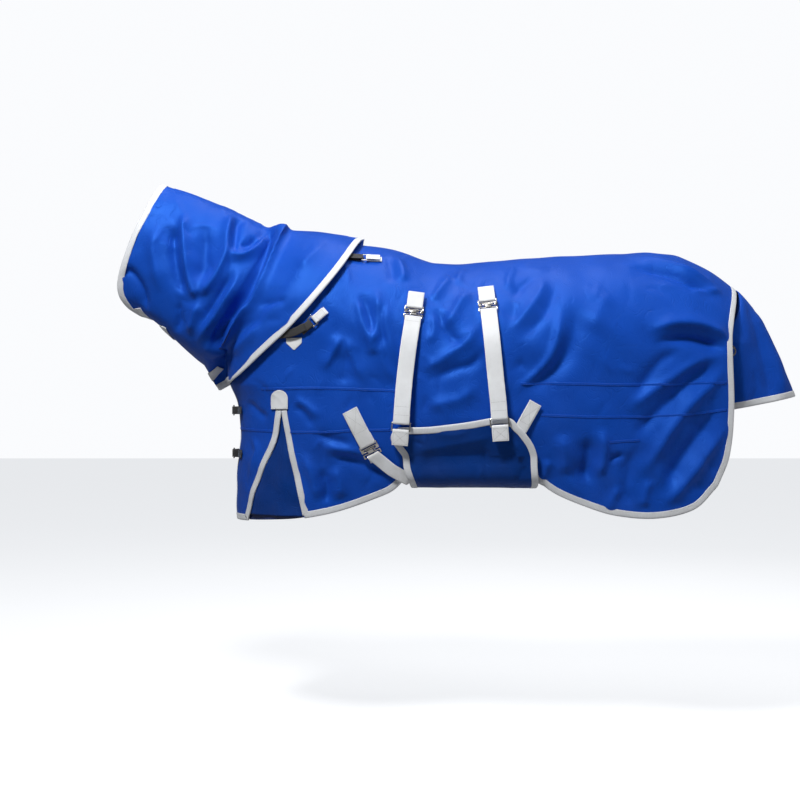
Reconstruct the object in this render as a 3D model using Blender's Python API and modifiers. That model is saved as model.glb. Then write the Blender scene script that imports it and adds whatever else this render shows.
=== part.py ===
"""Turnout rug for a horse, with a neck cover, a tail flap and a belly wrap, in the shape it holds when worn.

Metres, +Z up. +X runs from the withers to the tail and the near side (the horse's left) is -Y.
The origin is the point on the withers where the rug rests. Outlines are side views, as (x, z) points.
"""

import math

import bmesh
import bpy
import numpy as np
from mathutils import Matrix, Vector

# Cloth
OUTER_THICK = 0.003
LINING_THICK = 0.002
LINING_GAP = 0.008
GUSSET_GAP = 0.002
GUSSET_MARGIN = 0.012
BACK_SEAM_GAP = 0.006
CHEST_GAP = 0.016
BINDING_WIDTH = 0.024
BINDING_THICK = 0.002
BINDING_LIFT = 0.0035
HEM_LIFT = 0.0050
SLIT_BINDING_WIDTH = 0.022
YOKE_CLEARANCE = 0.018
NECK_CLEARANCE = 0.020
NECK_WIDTH_POLL = 0.115
NECK_WIDTH_BASE = 0.165
WRAP_CLEARANCE = 0.018
BACK_ROUND_DEPTH = 0.33
CHEST_ROUND_DEPTH = 0.27
FLAP_WIDTH_TOP = 0.12
FLAP_WIDTH_HEM = 0.215
BELLY_Z = -0.790
BELLY_ROUND = 0.105
BELLY_PULL = 0.086

# Webbing and hardware
WEBBING_WIDTH = 0.050
WEBBING_THICK = 0.0025
WEBBING_LIFT = 0.0045
SURCINGLE_LIFT = 0.0105
SURCINGLE_WIDTH = 0.040
SMALL_WEBBING_WIDTH = 0.025
TAB_LENGTH = 0.052
WRAP_TAB_LENGTH = 0.045
FOLD_BACK = 0.055
METAL_THICK = 0.0025
LOOP_ROOM = 0.0012
STRAP_ROOM = 0.001
CLIP_DEPTH = 0.0080
SLIDER_DEPTH = 0.0295
RING_DEPTH = -0.0230
THROAT_TAB_WIDTH = 0.030
RING_RADIUS = 0.016
RING_BAND = 0.005
SLIDER_ROWS = (0.004, 0.020, 0.004)
LOOP_ROWS = (0.0035, 0.014, 0.0035)
LOOP_BAND = 0.0035
CHEST_HEIGHTS = (-0.545, -0.685)
NECK_PIVOT = (-0.370, -0.185)
FLAP_PIVOT = (1.236, -0.146)

# Side-view outlines
TOPLINE = [(-0.65, 0.198), (-0.535, 0.158), (-0.436, 0.119), (-0.337, 0.072), (-0.238, 0.036),
           (-0.089, 0.018), (0.0, 0.0), (0.109, -0.018), (0.208, -0.052), (0.257, -0.063),
           (0.356, -0.063), (0.505, -0.050), (0.653, -0.040), (0.851, -0.033), (1.0, -0.033),
           (1.06, -0.047), (1.148, -0.088), (1.224, -0.145)]
NECKLINE = [(-0.425, -0.462), (-0.345, -0.375), (-0.225, -0.205), (-0.145, -0.085), (-0.089, 0.018)]
CHEST_FRONT = [(-0.425, -0.462), (-0.402, -0.520), (-0.391, -0.617), (-0.400, -0.716),
               (-0.405, -0.815), (-0.404, -0.897)]
HEM = [(-0.404, -0.897), (-0.285, -0.889), (-0.179, -0.880), (-0.057, -0.856), (0.0645, -0.813),
       (0.113, -0.789), (0.145, -0.757), (0.19, -0.722), (0.26, -0.704), (0.36, -0.700), (0.44, -0.706),
       (0.50, -0.724), (0.545, -0.751), (0.612, -0.799),
       (0.704, -0.838), (0.795, -0.865), (0.917, -0.874), (1.038, -0.847), (1.114, -0.777)]
REAR_EDGE = [(1.224, -0.145), (1.200, -0.200), (1.175, -0.270), (1.163, -0.351), (1.166, -0.548),
             (1.151, -0.685), (1.114, -0.777)]
SLIT_FRONT = [(-0.252, -0.548), (-0.270, -0.640), (-0.305, -0.715), (-0.340, -0.800), (-0.372, -0.905)]
SLIT_REAR = [(-0.224, -0.548), (-0.205, -0.660), (-0.180, -0.770), (-0.150, -0.905)]
POLL_EDGE = [(-0.650, 0.198), (-0.690, 0.105), (-0.732, 0.012), (-0.772, -0.105), (-0.778, -0.165),
             (-0.757, -0.207), (-0.722, -0.235)]
NECK_CREST = [(-0.650, 0.198), (-0.535, 0.158), (-0.436, 0.119), (-0.337, 0.063), (-0.262, 0.030),
              (-0.205, 0.0)]
NECK_THROAT = [(-0.722, -0.235), (-0.680, -0.250), (-0.6336, -0.290), (-0.584, -0.342), (-0.530, -0.375),
               (-0.450, -0.405)]
NECK_REAR = [(-0.205, 0.0), (-0.262, -0.120), (-0.355, -0.270), (-0.450, -0.405)]
YOKE_FRONT = [(-0.272, 0.062), (-0.312, -0.085), (-0.395, -0.260), (-0.505, -0.420)]
YOKE_CREST = [(-0.272, 0.062), (-0.19, 0.046), (-0.089, 0.038), (0.012, 0.020)]
YOKE_THROAT = [(-0.505, -0.420), (-0.486, -0.450), (-0.464, -0.478)]
YOKE_REAR = [(0.012, 0.020), (-0.050, -0.090), (-0.130, -0.195), (-0.215, -0.288), (-0.294, -0.358),
             (-0.379, -0.428), (-0.464, -0.478)]
BODY_WIDTH = [(-0.45, 0.250), (-0.2, 0.268), (0.0, 0.288), (0.2, 0.315), (0.4, 0.335), (0.7, 0.335),
              (0.95, 0.318), (1.10, 0.288), (1.25, 0.250)]
FLAP_CENTRE = [(1.236, -0.150), (1.297, -0.218), (1.346, -0.314), (1.396, -0.416), (1.429, -0.495)]
FLAP_SIDE = [(1.205, -0.235), (1.150, -0.320), (1.125, -0.430), (1.120, -0.550)]
WRAP_TOP = [(0.108, -0.612), (0.128, -0.599), (0.2165, -0.597), (0.338, -0.582), (0.429, -0.566),
            (0.468, -0.570), (0.492, -0.592)]
WRAP_FRONT = [(0.0, 0.108), (0.15, 0.106), (0.35, 0.123), (0.65, 0.160), (1.0, 0.174)]
WRAP_REAR = [(0.0, 0.492), (0.12, 0.512), (0.35, 0.540), (0.65, 0.554), (1.0, 0.556)]

# Straps, as side-view points in the order that a hand follows them down
FRONT_STRAP = [(0.172, -0.262), (0.160, -0.350), (0.150, -0.440), (0.143, -0.530), (0.140, -0.578)]
REAR_STRAP = [(0.405, -0.240), (0.412, -0.320), (0.422, -0.430), (0.431, -0.520), (0.434, -0.565)]
SURCINGLE_TAB = [(-0.022, -0.543), (0.010, -0.605), (0.034, -0.650)]
FRONT_SURCINGLE = [(0.078, -0.702), (0.105, -0.724), (0.138, -0.744), (0.164, -0.7575)]
REAR_SURCINGLE = [(0.545, -0.520), (0.520, -0.565), (0.488, -0.620), (0.455, -0.670), (0.430, -0.712),
                  (0.419, -0.730)]
UPPER_CLIP = ((0.030, -0.066), (-1.0, 0.05))
LOWER_CLIP = ((-0.130, -0.262), (-0.75, -0.66))
REAR_RING = (1.172, -0.350)
COLOURS = {"shell": (0.02, 0.10, 0.55, 1), "lining": (0.01, 0.02, 0.08, 1),
           "webbing": (0.72, 0.73, 0.75, 1), "binding": (0.80, 0.81, 0.83, 1),
           "metal": (0.75, 0.75, 0.76, 1), "elastic": (0.02, 0.02, 0.02, 1)}


# ---------------------------------------------------------------- curves and the horse-shaped surface
def spline(points, samples=16):
    """A Catmull-Rom curve through the points, as many short steps."""
    p = np.array([points[0], *points, points[-1]], float)
    p[0] = 2 * p[1] - p[2]
    p[-1] = 2 * p[-2] - p[-3]
    t = np.linspace(0, 1, samples, endpoint=False)[:, None]
    runs = []
    for a, b, c, d in zip(p, p[1:], p[2:], p[3:]):
        square, cube = 2 * a - 5 * b + 4 * c - d, 3 * b - a - 3 * c + d
        runs.append(0.5 * (2 * b + (c - a) * t + square * t**2 + cube * t**3))
    return np.vstack([*runs, p[-2]])


class Line:
    """Smooth curves end to end, read by the share of their length, from 0 to 1."""

    def __init__(self, *runs):
        self.points = np.vstack([spline(run) for run in runs])
        steps = np.linalg.norm(np.diff(self.points, axis=0), axis=1)
        self.share = np.concatenate([[0], np.cumsum(steps)]) / steps.sum()

    def at(self, s):
        return np.stack([np.interp(s, self.share, column) for column in self.points.T], axis=-1)


def reader(points):
    """A function that reads the second value of a curve from its first, which has to increase."""
    line = spline(points)
    return lambda x: np.interp(x, line[:, 0], line[:, 1])


def reader_by_height(points):
    """A function that reads x from z on a curve that runs downwards."""
    return reader([(z, x) for x, z in reversed(points)])


top_height = reader(TOPLINE)
body_width = reader(BODY_WIDTH)
hem_height = reader(HEM)
chest_x = reader_by_height(CHEST_FRONT)
slit_front_x = reader_by_height(SLIT_FRONT)
slit_rear_x = reader_by_height(SLIT_REAR)
wrap_top = reader(WRAP_TOP)
wrap_front = reader(WRAP_FRONT)
wrap_rear = reader(WRAP_REAR)
back_line = [point for point in TOPLINE if point[0] > -0.1]
BODY_EDGES = Line(HEM), Line(NECKLINE, back_line), Line(CHEST_FRONT), Line(REAR_EDGE)
YOKE_EDGES = Line(YOKE_THROAT), Line(YOKE_CREST), Line(YOKE_FRONT), Line(YOKE_REAR)
NECK_EDGES = Line(NECK_THROAT), Line(NECK_CREST), Line(POLL_EDGE), Line(NECK_REAR)
flap_centre, flap_side = Line(FLAP_CENTRE), Line(FLAP_SIDE)


def round_off(share):
    """A quarter circle's height at this share of its radius."""
    return np.sqrt(1 - (1 - np.clip(share, 0, 1)) ** 2)


def half_width(x, z):
    """Half the rug's width at a side-view point: round over back and chest, and pulled in under the wrap."""
    back = round_off((top_height(x) - z) / BACK_ROUND_DEPTH)
    chest = round_off((x - chest_x(z)) / CHEST_ROUND_DEPTH)
    under = (1 - np.exp(-((np.minimum(0.56 + z, 0) / 0.2) ** 2))) * np.exp(-(((x - 0.33) / 0.42) ** 2))
    return body_width(x) * back * chest - BELLY_PULL * under


def on_body(points, lift=0.0):
    """Points on the near side's outer face, from side-view points, and the directions out of it there."""
    x, z = np.array(points, float).T
    step = 0.002
    slope_x = (half_width(x + step, z) - half_width(x - step, z)) / (2 * step)
    slope_z = (half_width(x, z + step) - half_width(x, z - step)) / (2 * step)
    out = np.stack([-slope_x, -np.ones_like(x), -slope_z], axis=-1)
    out /= np.linalg.norm(out, axis=-1, keepdims=True)
    return np.stack([x, -half_width(x, z), z], axis=-1) + out * np.reshape(lift, (-1, 1)), out


def coons(edges, u, v):
    """A side-view patch between four edges. u runs along top and bottom, v from top to bottom."""
    bottom, top, left, right = edges
    corner = {(i, j): (top, bottom)[j].at(float(i)) for i in (0, 1) for j in (0, 1)}
    u, v = u[..., None], v[..., None]
    along = (1 - v) * top.at(u[..., 0]) + v * bottom.at(u[..., 0])
    across = (1 - u) * left.at(v[..., 0]) + u * right.at(v[..., 0])
    flat = (1 - u) * ((1 - v) * corner[0, 0] + v * corner[0, 1])
    flat = flat + u * ((1 - v) * corner[1, 0] + v * corner[1, 1])
    return np.moveaxis(along + across - flat, -1, 0)


def near_side(x, width, z, gap=BACK_SEAM_GAP):
    return np.stack([x, -np.maximum(width, np.asarray(gap) / 2), z], axis=-1)


def body_surface(u, v):
    """The near side of the shell: u from chest to tail, v from the back to the hem."""
    x, z = coons(BODY_EDGES, u**1.4, ring_share(v))
    return near_side(x, half_width(x, z), z, np.where(u < 1e-6, CHEST_GAP, BACK_SEAM_GAP))


def ring_share(v):
    """Even steps round an oval, as shares of its height."""
    return (1 - np.cos(math.pi * v)) / 2


def neck_surface(u, v):
    """The near side of the neck cover: u from the poll to under the yoke, v from the crest to the throat."""
    x, z = coons(NECK_EDGES, u, ring_share(v))
    width = NECK_WIDTH_POLL + (NECK_WIDTH_BASE - NECK_WIDTH_POLL) * u
    return near_side(x, width * np.sin(math.pi * v), z)


def yoke_surface(u, v):
    """The near side of the yoke: as wide as the neck at u = 0, and lying over the shell at u = 1."""
    x, z = coons(YOKE_EDGES, u, ring_share(v))
    neck = (NECK_WIDTH_BASE + NECK_CLEARANCE) * np.sin(math.pi * v)
    shell = half_width(x + YOKE_CLEARANCE / 2, z - YOKE_CLEARANCE) + YOKE_CLEARANCE
    over = np.clip(u * 1.7, 0, 1)
    over = over * over * (3 - 2 * over)
    width = neck + (np.maximum(shell, neck * 0.2) - neck) * over
    return near_side(x, np.where((v < 1e-6) | (v > 1 - 1e-6), 0, width), z)


def flap_surface(u, v):
    """The tail flap: u from the near edge to the off edge, v from the seam to the hem."""
    angle = math.pi * (u - 0.5)
    side, bow = flap_side.at(v), np.cos(angle)[..., None] ** 0.9
    x, z = np.moveaxis(side + (flap_centre.at(v) - side) * bow, -1, 0)
    width = FLAP_WIDTH_TOP + (FLAP_WIDTH_HEM - FLAP_WIDTH_TOP) * round_off(v * 1.6)
    return np.stack([x, width * np.sin(angle), z], axis=-1)


def wrap_surface(u, v):
    """The near half of the belly wrap: u from front edge to rear edge, v from its top to the belly."""
    x = wrap_front(v) + (wrap_rear(v) - wrap_front(v)) * u
    start_z = BELLY_Z + BELLY_ROUND
    top = wrap_top(np.clip(x, WRAP_TOP[0][0], WRAP_TOP[-1][0]))
    turn = math.pi / 2 * (1 - np.clip(v * 2 - 1, 0, 1))
    z = np.where(v < 0.5, top + (start_z - top) * v * 2, start_z - BELLY_ROUND * np.cos(turn) ** 0.4)
    upper = half_width(x, np.maximum(z, start_z)) + WRAP_CLEARANCE
    lower = (half_width(x, np.full_like(x, start_z)) + WRAP_CLEARANCE) * np.sin(turn) ** 0.4
    return near_side(x, np.where(v < 0.5, upper, lower), z)


def belly_floor(x, y):
    """How low the belly wrap's outer face is at a place under the belly."""
    start_z = BELLY_Z + BELLY_ROUND
    share = min(abs(y) / (half_width(x, start_z) + WRAP_CLEARANCE), 1)
    return start_z - BELLY_ROUND * (1 - share**5) ** 0.2


def gusset_surface(u, v):
    """The gusset behind the shoulder slit: u from front edge to rear edge, v from its top to the hem."""
    z = -0.535 + (hem_height(-0.26) + 0.010 + 0.535) * v
    front, rear = slit_front_x(z) - GUSSET_MARGIN, slit_rear_x(z) + GUSSET_MARGIN
    x = front + (rear - front) * u
    return near_side(x, half_width(x, z), z)


def across(surface):
    """Both sides of a surface as one: the second value runs from the off far edge to the near one."""
    def both(u, w):
        point = surface(u, np.abs(2 * w - 1))
        point[..., 1] *= np.sign(2 * w - 1)
        return point
    return both


def piece_of(surface, u_range, v_range):
    """A surface's own patch between these shares."""
    def patch(u, v):
        u = u_range[0] + (u_range[1] - u_range[0]) * u
        return surface(u, v_range[0] + (v_range[1] - v_range[0]) * v)
    return patch


def lifted(surface, u, v, lift):
    """Points of a surface moved out along its normal."""
    points = surface(u, v)
    if not lift:
        return points
    step = 0.004
    low_u, high_u = np.clip(u - step, 0, 1), np.clip(u + step, 0, 1)
    low_v, high_v = np.clip(v - step, 0, 1), np.clip(v + step, 0, 1)
    out = np.cross(surface(u, high_v) - surface(u, low_v), surface(high_u, v) - surface(low_u, v))
    return points + lift * out / np.maximum(np.linalg.norm(out, axis=-1, keepdims=True), 1e-9)


# ---------------------------------------------------------------- building
def material(name):
    made = bpy.data.materials.get(name)
    if made is None:
        made = bpy.data.materials.new(name)
        made.use_nodes = True
        shader = made.node_tree.nodes["Principled BSDF"]
        shader.inputs["Base Color"].default_value = COLOURS[name]
        shader.inputs["Roughness"].default_value = 0.25 if name == "metal" else 0.7
        shader.inputs["Metallic"].default_value = float(name == "metal")
    return made


def new_collection(name, helper=False):
    collection = bpy.data.collections.new(name)
    bpy.context.scene.collection.children.link(collection)
    collection.hide_render = helper
    return collection


def add(name, bm, finish, smooth=True):
    """A bmesh made into an object of the rug."""
    mesh = bpy.data.meshes.new(name)
    bm.to_mesh(mesh)
    bm.free()
    if smooth:
        mesh.shade_smooth()
    mesh.materials.append(material(finish))
    obj = bpy.data.objects.new(name, mesh)
    bpy.data.collections["turnout_rug"].objects.link(obj)
    return obj


def cloth(name, surface, steps, thick, finish, off=False, lift=0.0):
    """A grid laid on a surface and given its thickness inwards."""
    bm = bmesh.new()
    bmesh.ops.create_grid(bm, x_segments=steps[0], y_segments=steps[1], size=0.5)
    u, v = np.clip(np.array([vert.co for vert in bm.verts])[:, :2].T + 0.5, 0, 1)
    for vert, point in zip(bm.verts, lifted(surface, u, v, lift)):
        vert.co = (point[0], -point[1] if off else point[1], point[2])
    if not off:
        bmesh.ops.reverse_faces(bm, faces=bm.faces)
    obj = add(name, bm, finish)
    thickness = obj.modifiers.new("thickness", "SOLIDIFY")
    thickness.thickness = thick
    thickness.offset = -1
    return obj


def ribbon(name, centres, sides, width, thick, finish, off=False):
    """A flat band swept along centres, with its width along sides."""
    centres, sides = np.array(centres), np.array(sides)
    face = np.cross(np.gradient(centres, axis=0), sides)
    face /= np.linalg.norm(face, axis=1, keepdims=True)
    bm = bmesh.new()
    rings = []
    for centre, side, normal in zip(centres, sides * width / 2, face * thick / 2):
        inner, outer = centre - normal, centre + normal
        corners = (inner - side, inner + side, outer + side, outer - side)
        rings.append([bm.verts.new((x, -y if off else y, z)) for x, y, z in corners])
    for one, two in zip(rings, rings[1:]):
        # Both broad faces are cut on the same diagonal, so that a twist leaves the band its thickness.
        for i, j in ((0, 1), (3, 2), (1, 2), (0, 3)):
            bm.faces.new((one[i], one[j], two[j]))
            bm.faces.new((one[i], two[j], two[i]))
    bm.faces.new(rings[0])
    bm.faces.new(rings[-1])
    bmesh.ops.recalc_face_normals(bm, faces=bm.faces)
    return add(name, bm, finish, smooth=False)


def sides_along(centres, outs):
    """Which way a band's width lies at each point, mitred where the band turns a corner."""
    steps = np.diff(centres, axis=0)
    steps /= np.linalg.norm(steps, axis=1, keepdims=True)
    before, after = np.vstack([steps[:1], steps]), np.vstack([steps, steps[-1:]])
    ahead = before + after
    ahead /= np.linalg.norm(ahead, axis=1, keepdims=True)
    sides = np.cross(ahead, outs)
    sides /= np.linalg.norm(sides, axis=1, keepdims=True)
    return sides / np.maximum(np.sum(ahead * after, axis=1, keepdims=True), 0.5)


def band_on_body(name, points, width, thick, finish, lift, off=False):
    """A band sewn on the shell along side-view points."""
    centres, outs = on_body(points, lift + thick / 2)
    return ribbon(name, centres, sides_along(centres, outs), width, thick, finish, off)


class Seat:
    """Where a strap's fitting sits: along runs the way the strap runs, out is away from the horse."""

    def __init__(self, origin, along, out):
        self.origin, self.out = np.array(origin, float), np.array(out, float)
        self.side = np.cross(np.array(along, float), self.out)
        self.side /= np.linalg.norm(self.side)
        self.along = np.cross(self.out, self.side)

    @classmethod
    def on_body(cls, point, toward):
        origin, out = on_body([point])
        ahead, _ = on_body([(point[0] + toward[0] * 0.01, point[1] + toward[1] * 0.01)])
        return cls(origin[0], ahead[0] - origin[0], out[0])

    def at(self, side, along, out):
        return self.origin + self.side * side + self.along * along + self.out * out

    def matrix(self):
        turn = Matrix([Vector(self.side), Vector(self.along), Vector(self.out)]).transposed()
        return Matrix.Translation(Vector(self.origin)) @ turn.to_4x4()


def loop(seat, bar, depth, thick, legs, opens):
    """A band's path round a bar at this distance along: its outer leg, the turn, then its inner leg.

    opens is 1 where the legs run on past the bar and -1 where they run back from it. A leg of 0 is left out.
    """
    radius = METAL_THICK / 2 + LOOP_ROOM + thick / 2
    angles = np.linspace(0, math.pi, 7)
    turn = [(bar - opens * radius * math.sin(a), depth + radius * math.cos(a)) for a in angles]
    path = [(bar + opens * legs[0], depth + radius)] if legs[0] else []
    path += turn
    path += [(bar + opens * legs[1], depth - radius)] if legs[1] else []
    return [seat.at(0, along, out) for along, out in path]


def looped_tab(name, seat, bar, depth, legs, opens, finish="webbing", width=WEBBING_WIDTH, off=False,
               thick=WEBBING_THICK):
    path = loop(seat, bar, depth, thick, legs, opens)
    return ribbon(name, path, [seat.side] * len(path), width, thick, finish, off)


def stamped(name, seat, columns, rows, pattern, off=False, finish="metal"):
    """A flat metal fitting from a pattern of filled cells. rows gives each row's edge as (along, out)."""
    bm = bmesh.new()
    corners = {}
    for i, line in enumerate(pattern):
        for j, cell in enumerate(line):
            if cell != "#":
                continue
            quad = []
            for r, c in ((i, j), (i, j + 1), (i + 1, j + 1), (i + 1, j)):
                if (r, c) not in corners:
                    x, y, z = seat.at(columns[c], *rows[r])
                    corners[r, c] = bm.verts.new((x, -y if off else y, z))
                quad.append(corners[r, c])
            bm.faces.new(quad[::-1] if off else quad)
    obj = add(name, bm, finish, smooth=False)
    thickness = obj.modifiers.new("thickness", "SOLIDIFY")
    thickness.thickness = METAL_THICK
    thickness.offset = 0
    thickness.use_even_offset = True
    return obj


def even_rows(start, heights, depth):
    """Row edges at one depth, from the heights of the rows."""
    return [(start + total, depth) for total in np.concatenate([[0], np.cumsum(heights)])]


def frame(name, seat, start, depth, webbing, heights, band):
    """A slider or a square loop: one opening inside a flat band, a little wider than its webbing."""
    inside = webbing / 2 + STRAP_ROOM
    columns = (-inside - band, -inside, inside, inside + band)
    return stamped(name, seat, columns, even_rows(start, heights, depth), ("###", "#.#", "###"))


def clip_plate(name, seat, start, depth):
    """The half of a strap clip with two slots: one for its tab and one for the hook."""
    inside = WEBBING_WIDTH / 2 + STRAP_ROOM
    columns = (-inside - 0.004, -inside, -inside + 0.006, inside - 0.006, inside, inside + 0.004)
    rows = even_rows(start, (0.003, 0.0075, 0.003, 0.0065, 0.003), depth)
    return stamped(name, seat, columns, rows, ("#####", "#...#", "#####", "##.##", "#####"))


def clip_hook(name, seat, start, depth):
    """The half of a strap clip with a head that drops through the plate and a slot for its strap."""
    inside = WEBBING_WIDTH / 2 + STRAP_ROOM
    columns = (-inside - 0.004, -inside, -0.016, -0.009, 0.009, 0.016, inside, inside + 0.004)
    rise = METAL_THICK + 0.0025
    rows = [(0, depth), (0.0035, depth), (0.005, depth + rise), (0.0112, depth + rise), (0.013, depth),
            (0.016, depth), (0.0235, depth), (0.0265, depth)]
    rows = [(start + along, out) for along, out in rows]
    pattern = ("..###..", "...#...", "...#...", "...#...", "#######", "#.....#", "#######")
    return stamped(name, seat, columns, rows, pattern)


def moving(name, pivot, objects, parent=None):
    """An empty on a joint's axis that carries the pieces which move about it."""
    empty = bpy.data.objects.new(name, None)
    empty.empty_display_size = 0.05
    empty.location = pivot
    bpy.data.collections["turnout_rug"].objects.link(empty)
    if parent:
        empty.parent = parent
        empty.matrix_parent_inverse = Matrix.Translation(-Vector(parent.matrix_world.translation))
    bpy.context.view_layer.update()
    for obj in objects:
        obj.parent = empty
        obj.matrix_parent_inverse = empty.matrix_world.inverted()
    return empty


# ---------------------------------------------------------------- the rug's pieces
def shell_side(side):
    """One side of the body: the shell with its shoulder slit, the gusset behind it, and their bindings."""
    off = side == "off"
    shell = cloth(side + "_shell", body_surface, (30, 16), OUTER_THICK, "shell", off)
    cut_slit(shell, off)
    depth = -(OUTER_THICK + GUSSET_GAP)
    cloth(side + "_gusset", gusset_surface, (6, 9), LINING_THICK, "shell", off, lift=depth)
    inset = BINDING_WIDTH / 2 - 0.002
    hem = Line(HEM).at(np.linspace(0.03, 1, 27) ** 1.5) + (0, inset)
    rear = Line(REAR_EDGE).at(np.linspace(1, 0.14, 12)) - (inset, 0)
    corner = (rear[0] + hem[-1]) / 2 + (-0.004, 0.004)
    edge = np.vstack([hem[:-1], corner, rear[1:]])
    band_on_body(side + "_hem_binding", edge, BINDING_WIDTH, BINDING_THICK, "binding", HEM_LIFT, off)
    heights = np.linspace(-0.548, -0.864, 9)
    front = np.stack([slit_front_x(heights), heights], axis=1)
    heights = np.linspace(-0.548, -0.846, 9)
    rear = np.stack([slit_rear_x(heights), heights], axis=1)
    angles = np.linspace(0, math.pi, 7)[1:-1]
    turn = [(-0.238 - 0.014 * math.cos(a), -0.548 + 0.014 * math.sin(a)) for a in angles]
    arch = np.vstack([front[::-1], turn, rear])
    name = side + "_gusset_binding"
    band_on_body(name, arch, SLIT_BINDING_WIDTH, BINDING_THICK, "binding", BINDING_LIFT, off)


def cut_slit(shell, off):
    """Opens the shoulder slit with a wedge that follows both of its bindings."""
    heights = np.linspace(-0.560, -0.93, 8)
    front = [(slit_front_x(z) + 0.012, z) for z in heights]
    rear = [(slit_rear_x(z) - 0.012, z) for z in heights]
    outline = front + rear[::-1]
    bm = bmesh.new()
    ends = [[bm.verts.new((x, y, z)) for x, z in outline] for y in (0.03, 0.5)]
    for i in range(len(outline)):
        bm.faces.new((ends[0][i - 1], ends[0][i], ends[1][i], ends[1][i - 1]))
    bm.faces.new(ends[0])
    bm.faces.new(ends[1])
    if not off:
        bmesh.ops.scale(bm, vec=(1, -1, 1), verts=bm.verts)
    bmesh.ops.recalc_face_normals(bm, faces=bm.faces)
    mesh = bpy.data.meshes.new(shell.name + "_slit")
    bm.to_mesh(mesh)
    bm.free()
    cutter = bpy.data.objects.new(shell.name + "_slit", mesh)
    cutter.display_type = "WIRE"
    cutter.hide_render = True
    bpy.data.collections["cutters"].objects.link(cutter)
    cut = shell.modifiers.new("slit", "BOOLEAN")
    cut.object = cutter
    cut.solver = "EXACT"


def neck_cover():
    """The neck cover, which telescopes into the yoke, and the yoke's panels."""
    panels = [cloth(side + "_neck_panel", neck_surface, (11, 13), OUTER_THICK, "shell", side == "off")
              for side in ("near", "off")]
    for side in ("near", "off"):
        cloth(side + "_yoke", yoke_surface, (9, 15), OUTER_THICK, "shell", side == "off")
    lift = BINDING_LIFT + BINDING_THICK
    poll = piece_of(across(neck_surface), (0.0, 0.057), (0.012, 0.988))
    binding = cloth("poll_binding", poll, (2, 26), BINDING_THICK, "binding", lift=lift)
    shoulder = piece_of(across(yoke_surface), (0.915, 1.0), (0, 1))
    cloth("shoulder_binding", shoulder, (2, 30), BINDING_THICK, "binding", lift=lift)
    upper = throat_tab("upper_throat_tab", neck_surface, 0.125)
    middle = throat_tab("middle_throat_tab", neck_surface, 0.40)
    lower = throat_tab("lower_throat_tab", yoke_surface, 0.22)
    neck = moving("neck_fold", (NECK_PIVOT[0], 0, NECK_PIVOT[1]), [*panels, binding])
    for name, tab in (("upper_throat_peel", upper), ("middle_throat_peel", middle)):
        moving(name, tab[1], [tab[0]], neck)
    moving("lower_throat_peel", lower[1], [lower[0]])


def throat_tab(name, surface, share):
    """A hook-and-loop tab round the throat closure, sewn on the off side and stuck down on the near side."""
    w = np.concatenate([np.linspace(0.075, 0.01, 5), np.linspace(0.99, 0.925, 5)])
    u = np.full_like(w, share)
    both = across(surface)
    centres = lifted(both, u, w, BINDING_LIFT + BINDING_THICK + WEBBING_THICK)
    outs = lifted(both, u, w, 1.0) - both(u, w)
    tab = ribbon(name, centres, sides_along(centres, outs), THROAT_TAB_WIDTH, WEBBING_THICK, "webbing")
    return tab, tuple(centres[0])


def tail_flap():
    flap = cloth("tail_flap", flap_surface, (13, 8), OUTER_THICK, "shell")
    hem = piece_of(flap_surface, (0, 1), (0.935, 1.0))
    lift = BINDING_LIFT + BINDING_THICK
    binding = cloth("tail_flap_binding", hem, (17, 1), BINDING_THICK, "binding", lift=lift)
    moving("tail_flap_lift", (FLAP_PIVOT[0], 0, FLAP_PIVOT[1]), [flap, binding])


def belly_wrap():
    """Both halves of the wrap, and the straps that hold it up."""
    moved = []
    for side in ("near", "off"):
        off = side == "off"
        half = cloth(side + "_wrap", wrap_surface, (9, 18), OUTER_THICK, "shell", off)
        front = np.stack([np.full(13, 0.035), np.linspace(0.995, 0.045, 13)], axis=1)
        top = np.stack([np.linspace(0.035, 0.965, 9), np.full(9, 0.045)], axis=1)
        rear = np.stack([np.full(13, 0.965), np.linspace(0.045, 0.995, 13)], axis=1)
        u, v = np.vstack([front, top[1:-1], rear]).T
        centres = lifted(wrap_surface, u, v, BINDING_LIFT + BINDING_THICK / 2)
        outs = lifted(wrap_surface, u, v, 1.0) - wrap_surface(u, v)
        name = side + "_wrap_binding"
        sides = sides_along(centres, outs)
        binding = ribbon(name, centres, sides, BINDING_WIDTH, BINDING_THICK, "binding", off)
        if not off:
            moved += [half, binding]
    for place, points in (("front", FRONT_STRAP), ("rear", REAR_STRAP)):
        off_strap(place, points)
        moved += near_strap(place, points)
    wrap = moving("near_wrap_drop", (0.33, 0, BELLY_Z), moved)
    for place, points in (("front", FRONT_STRAP), ("rear", REAR_STRAP)):
        seat = strap_foot(points)
        pieces = [bpy.data.objects["near_" + place + "_strap"], bpy.data.objects["near_" + place + "_hook"]]
        moving("near_" + place + "_strap_swing", seat.at(0, 0.002, SLIDER_DEPTH), pieces, wrap)


def strap_foot(points):
    """The seat of a strap's slider, at the strap's lower end."""
    return Seat.on_body(points[-1], np.subtract(points[-1], points[-2]) / 0.05)


def strap_head(points):
    """The seat of a strap's clip, at the strap's upper end."""
    return Seat.on_body(points[0], np.subtract(points[1], points[0]) / 0.08)


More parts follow.
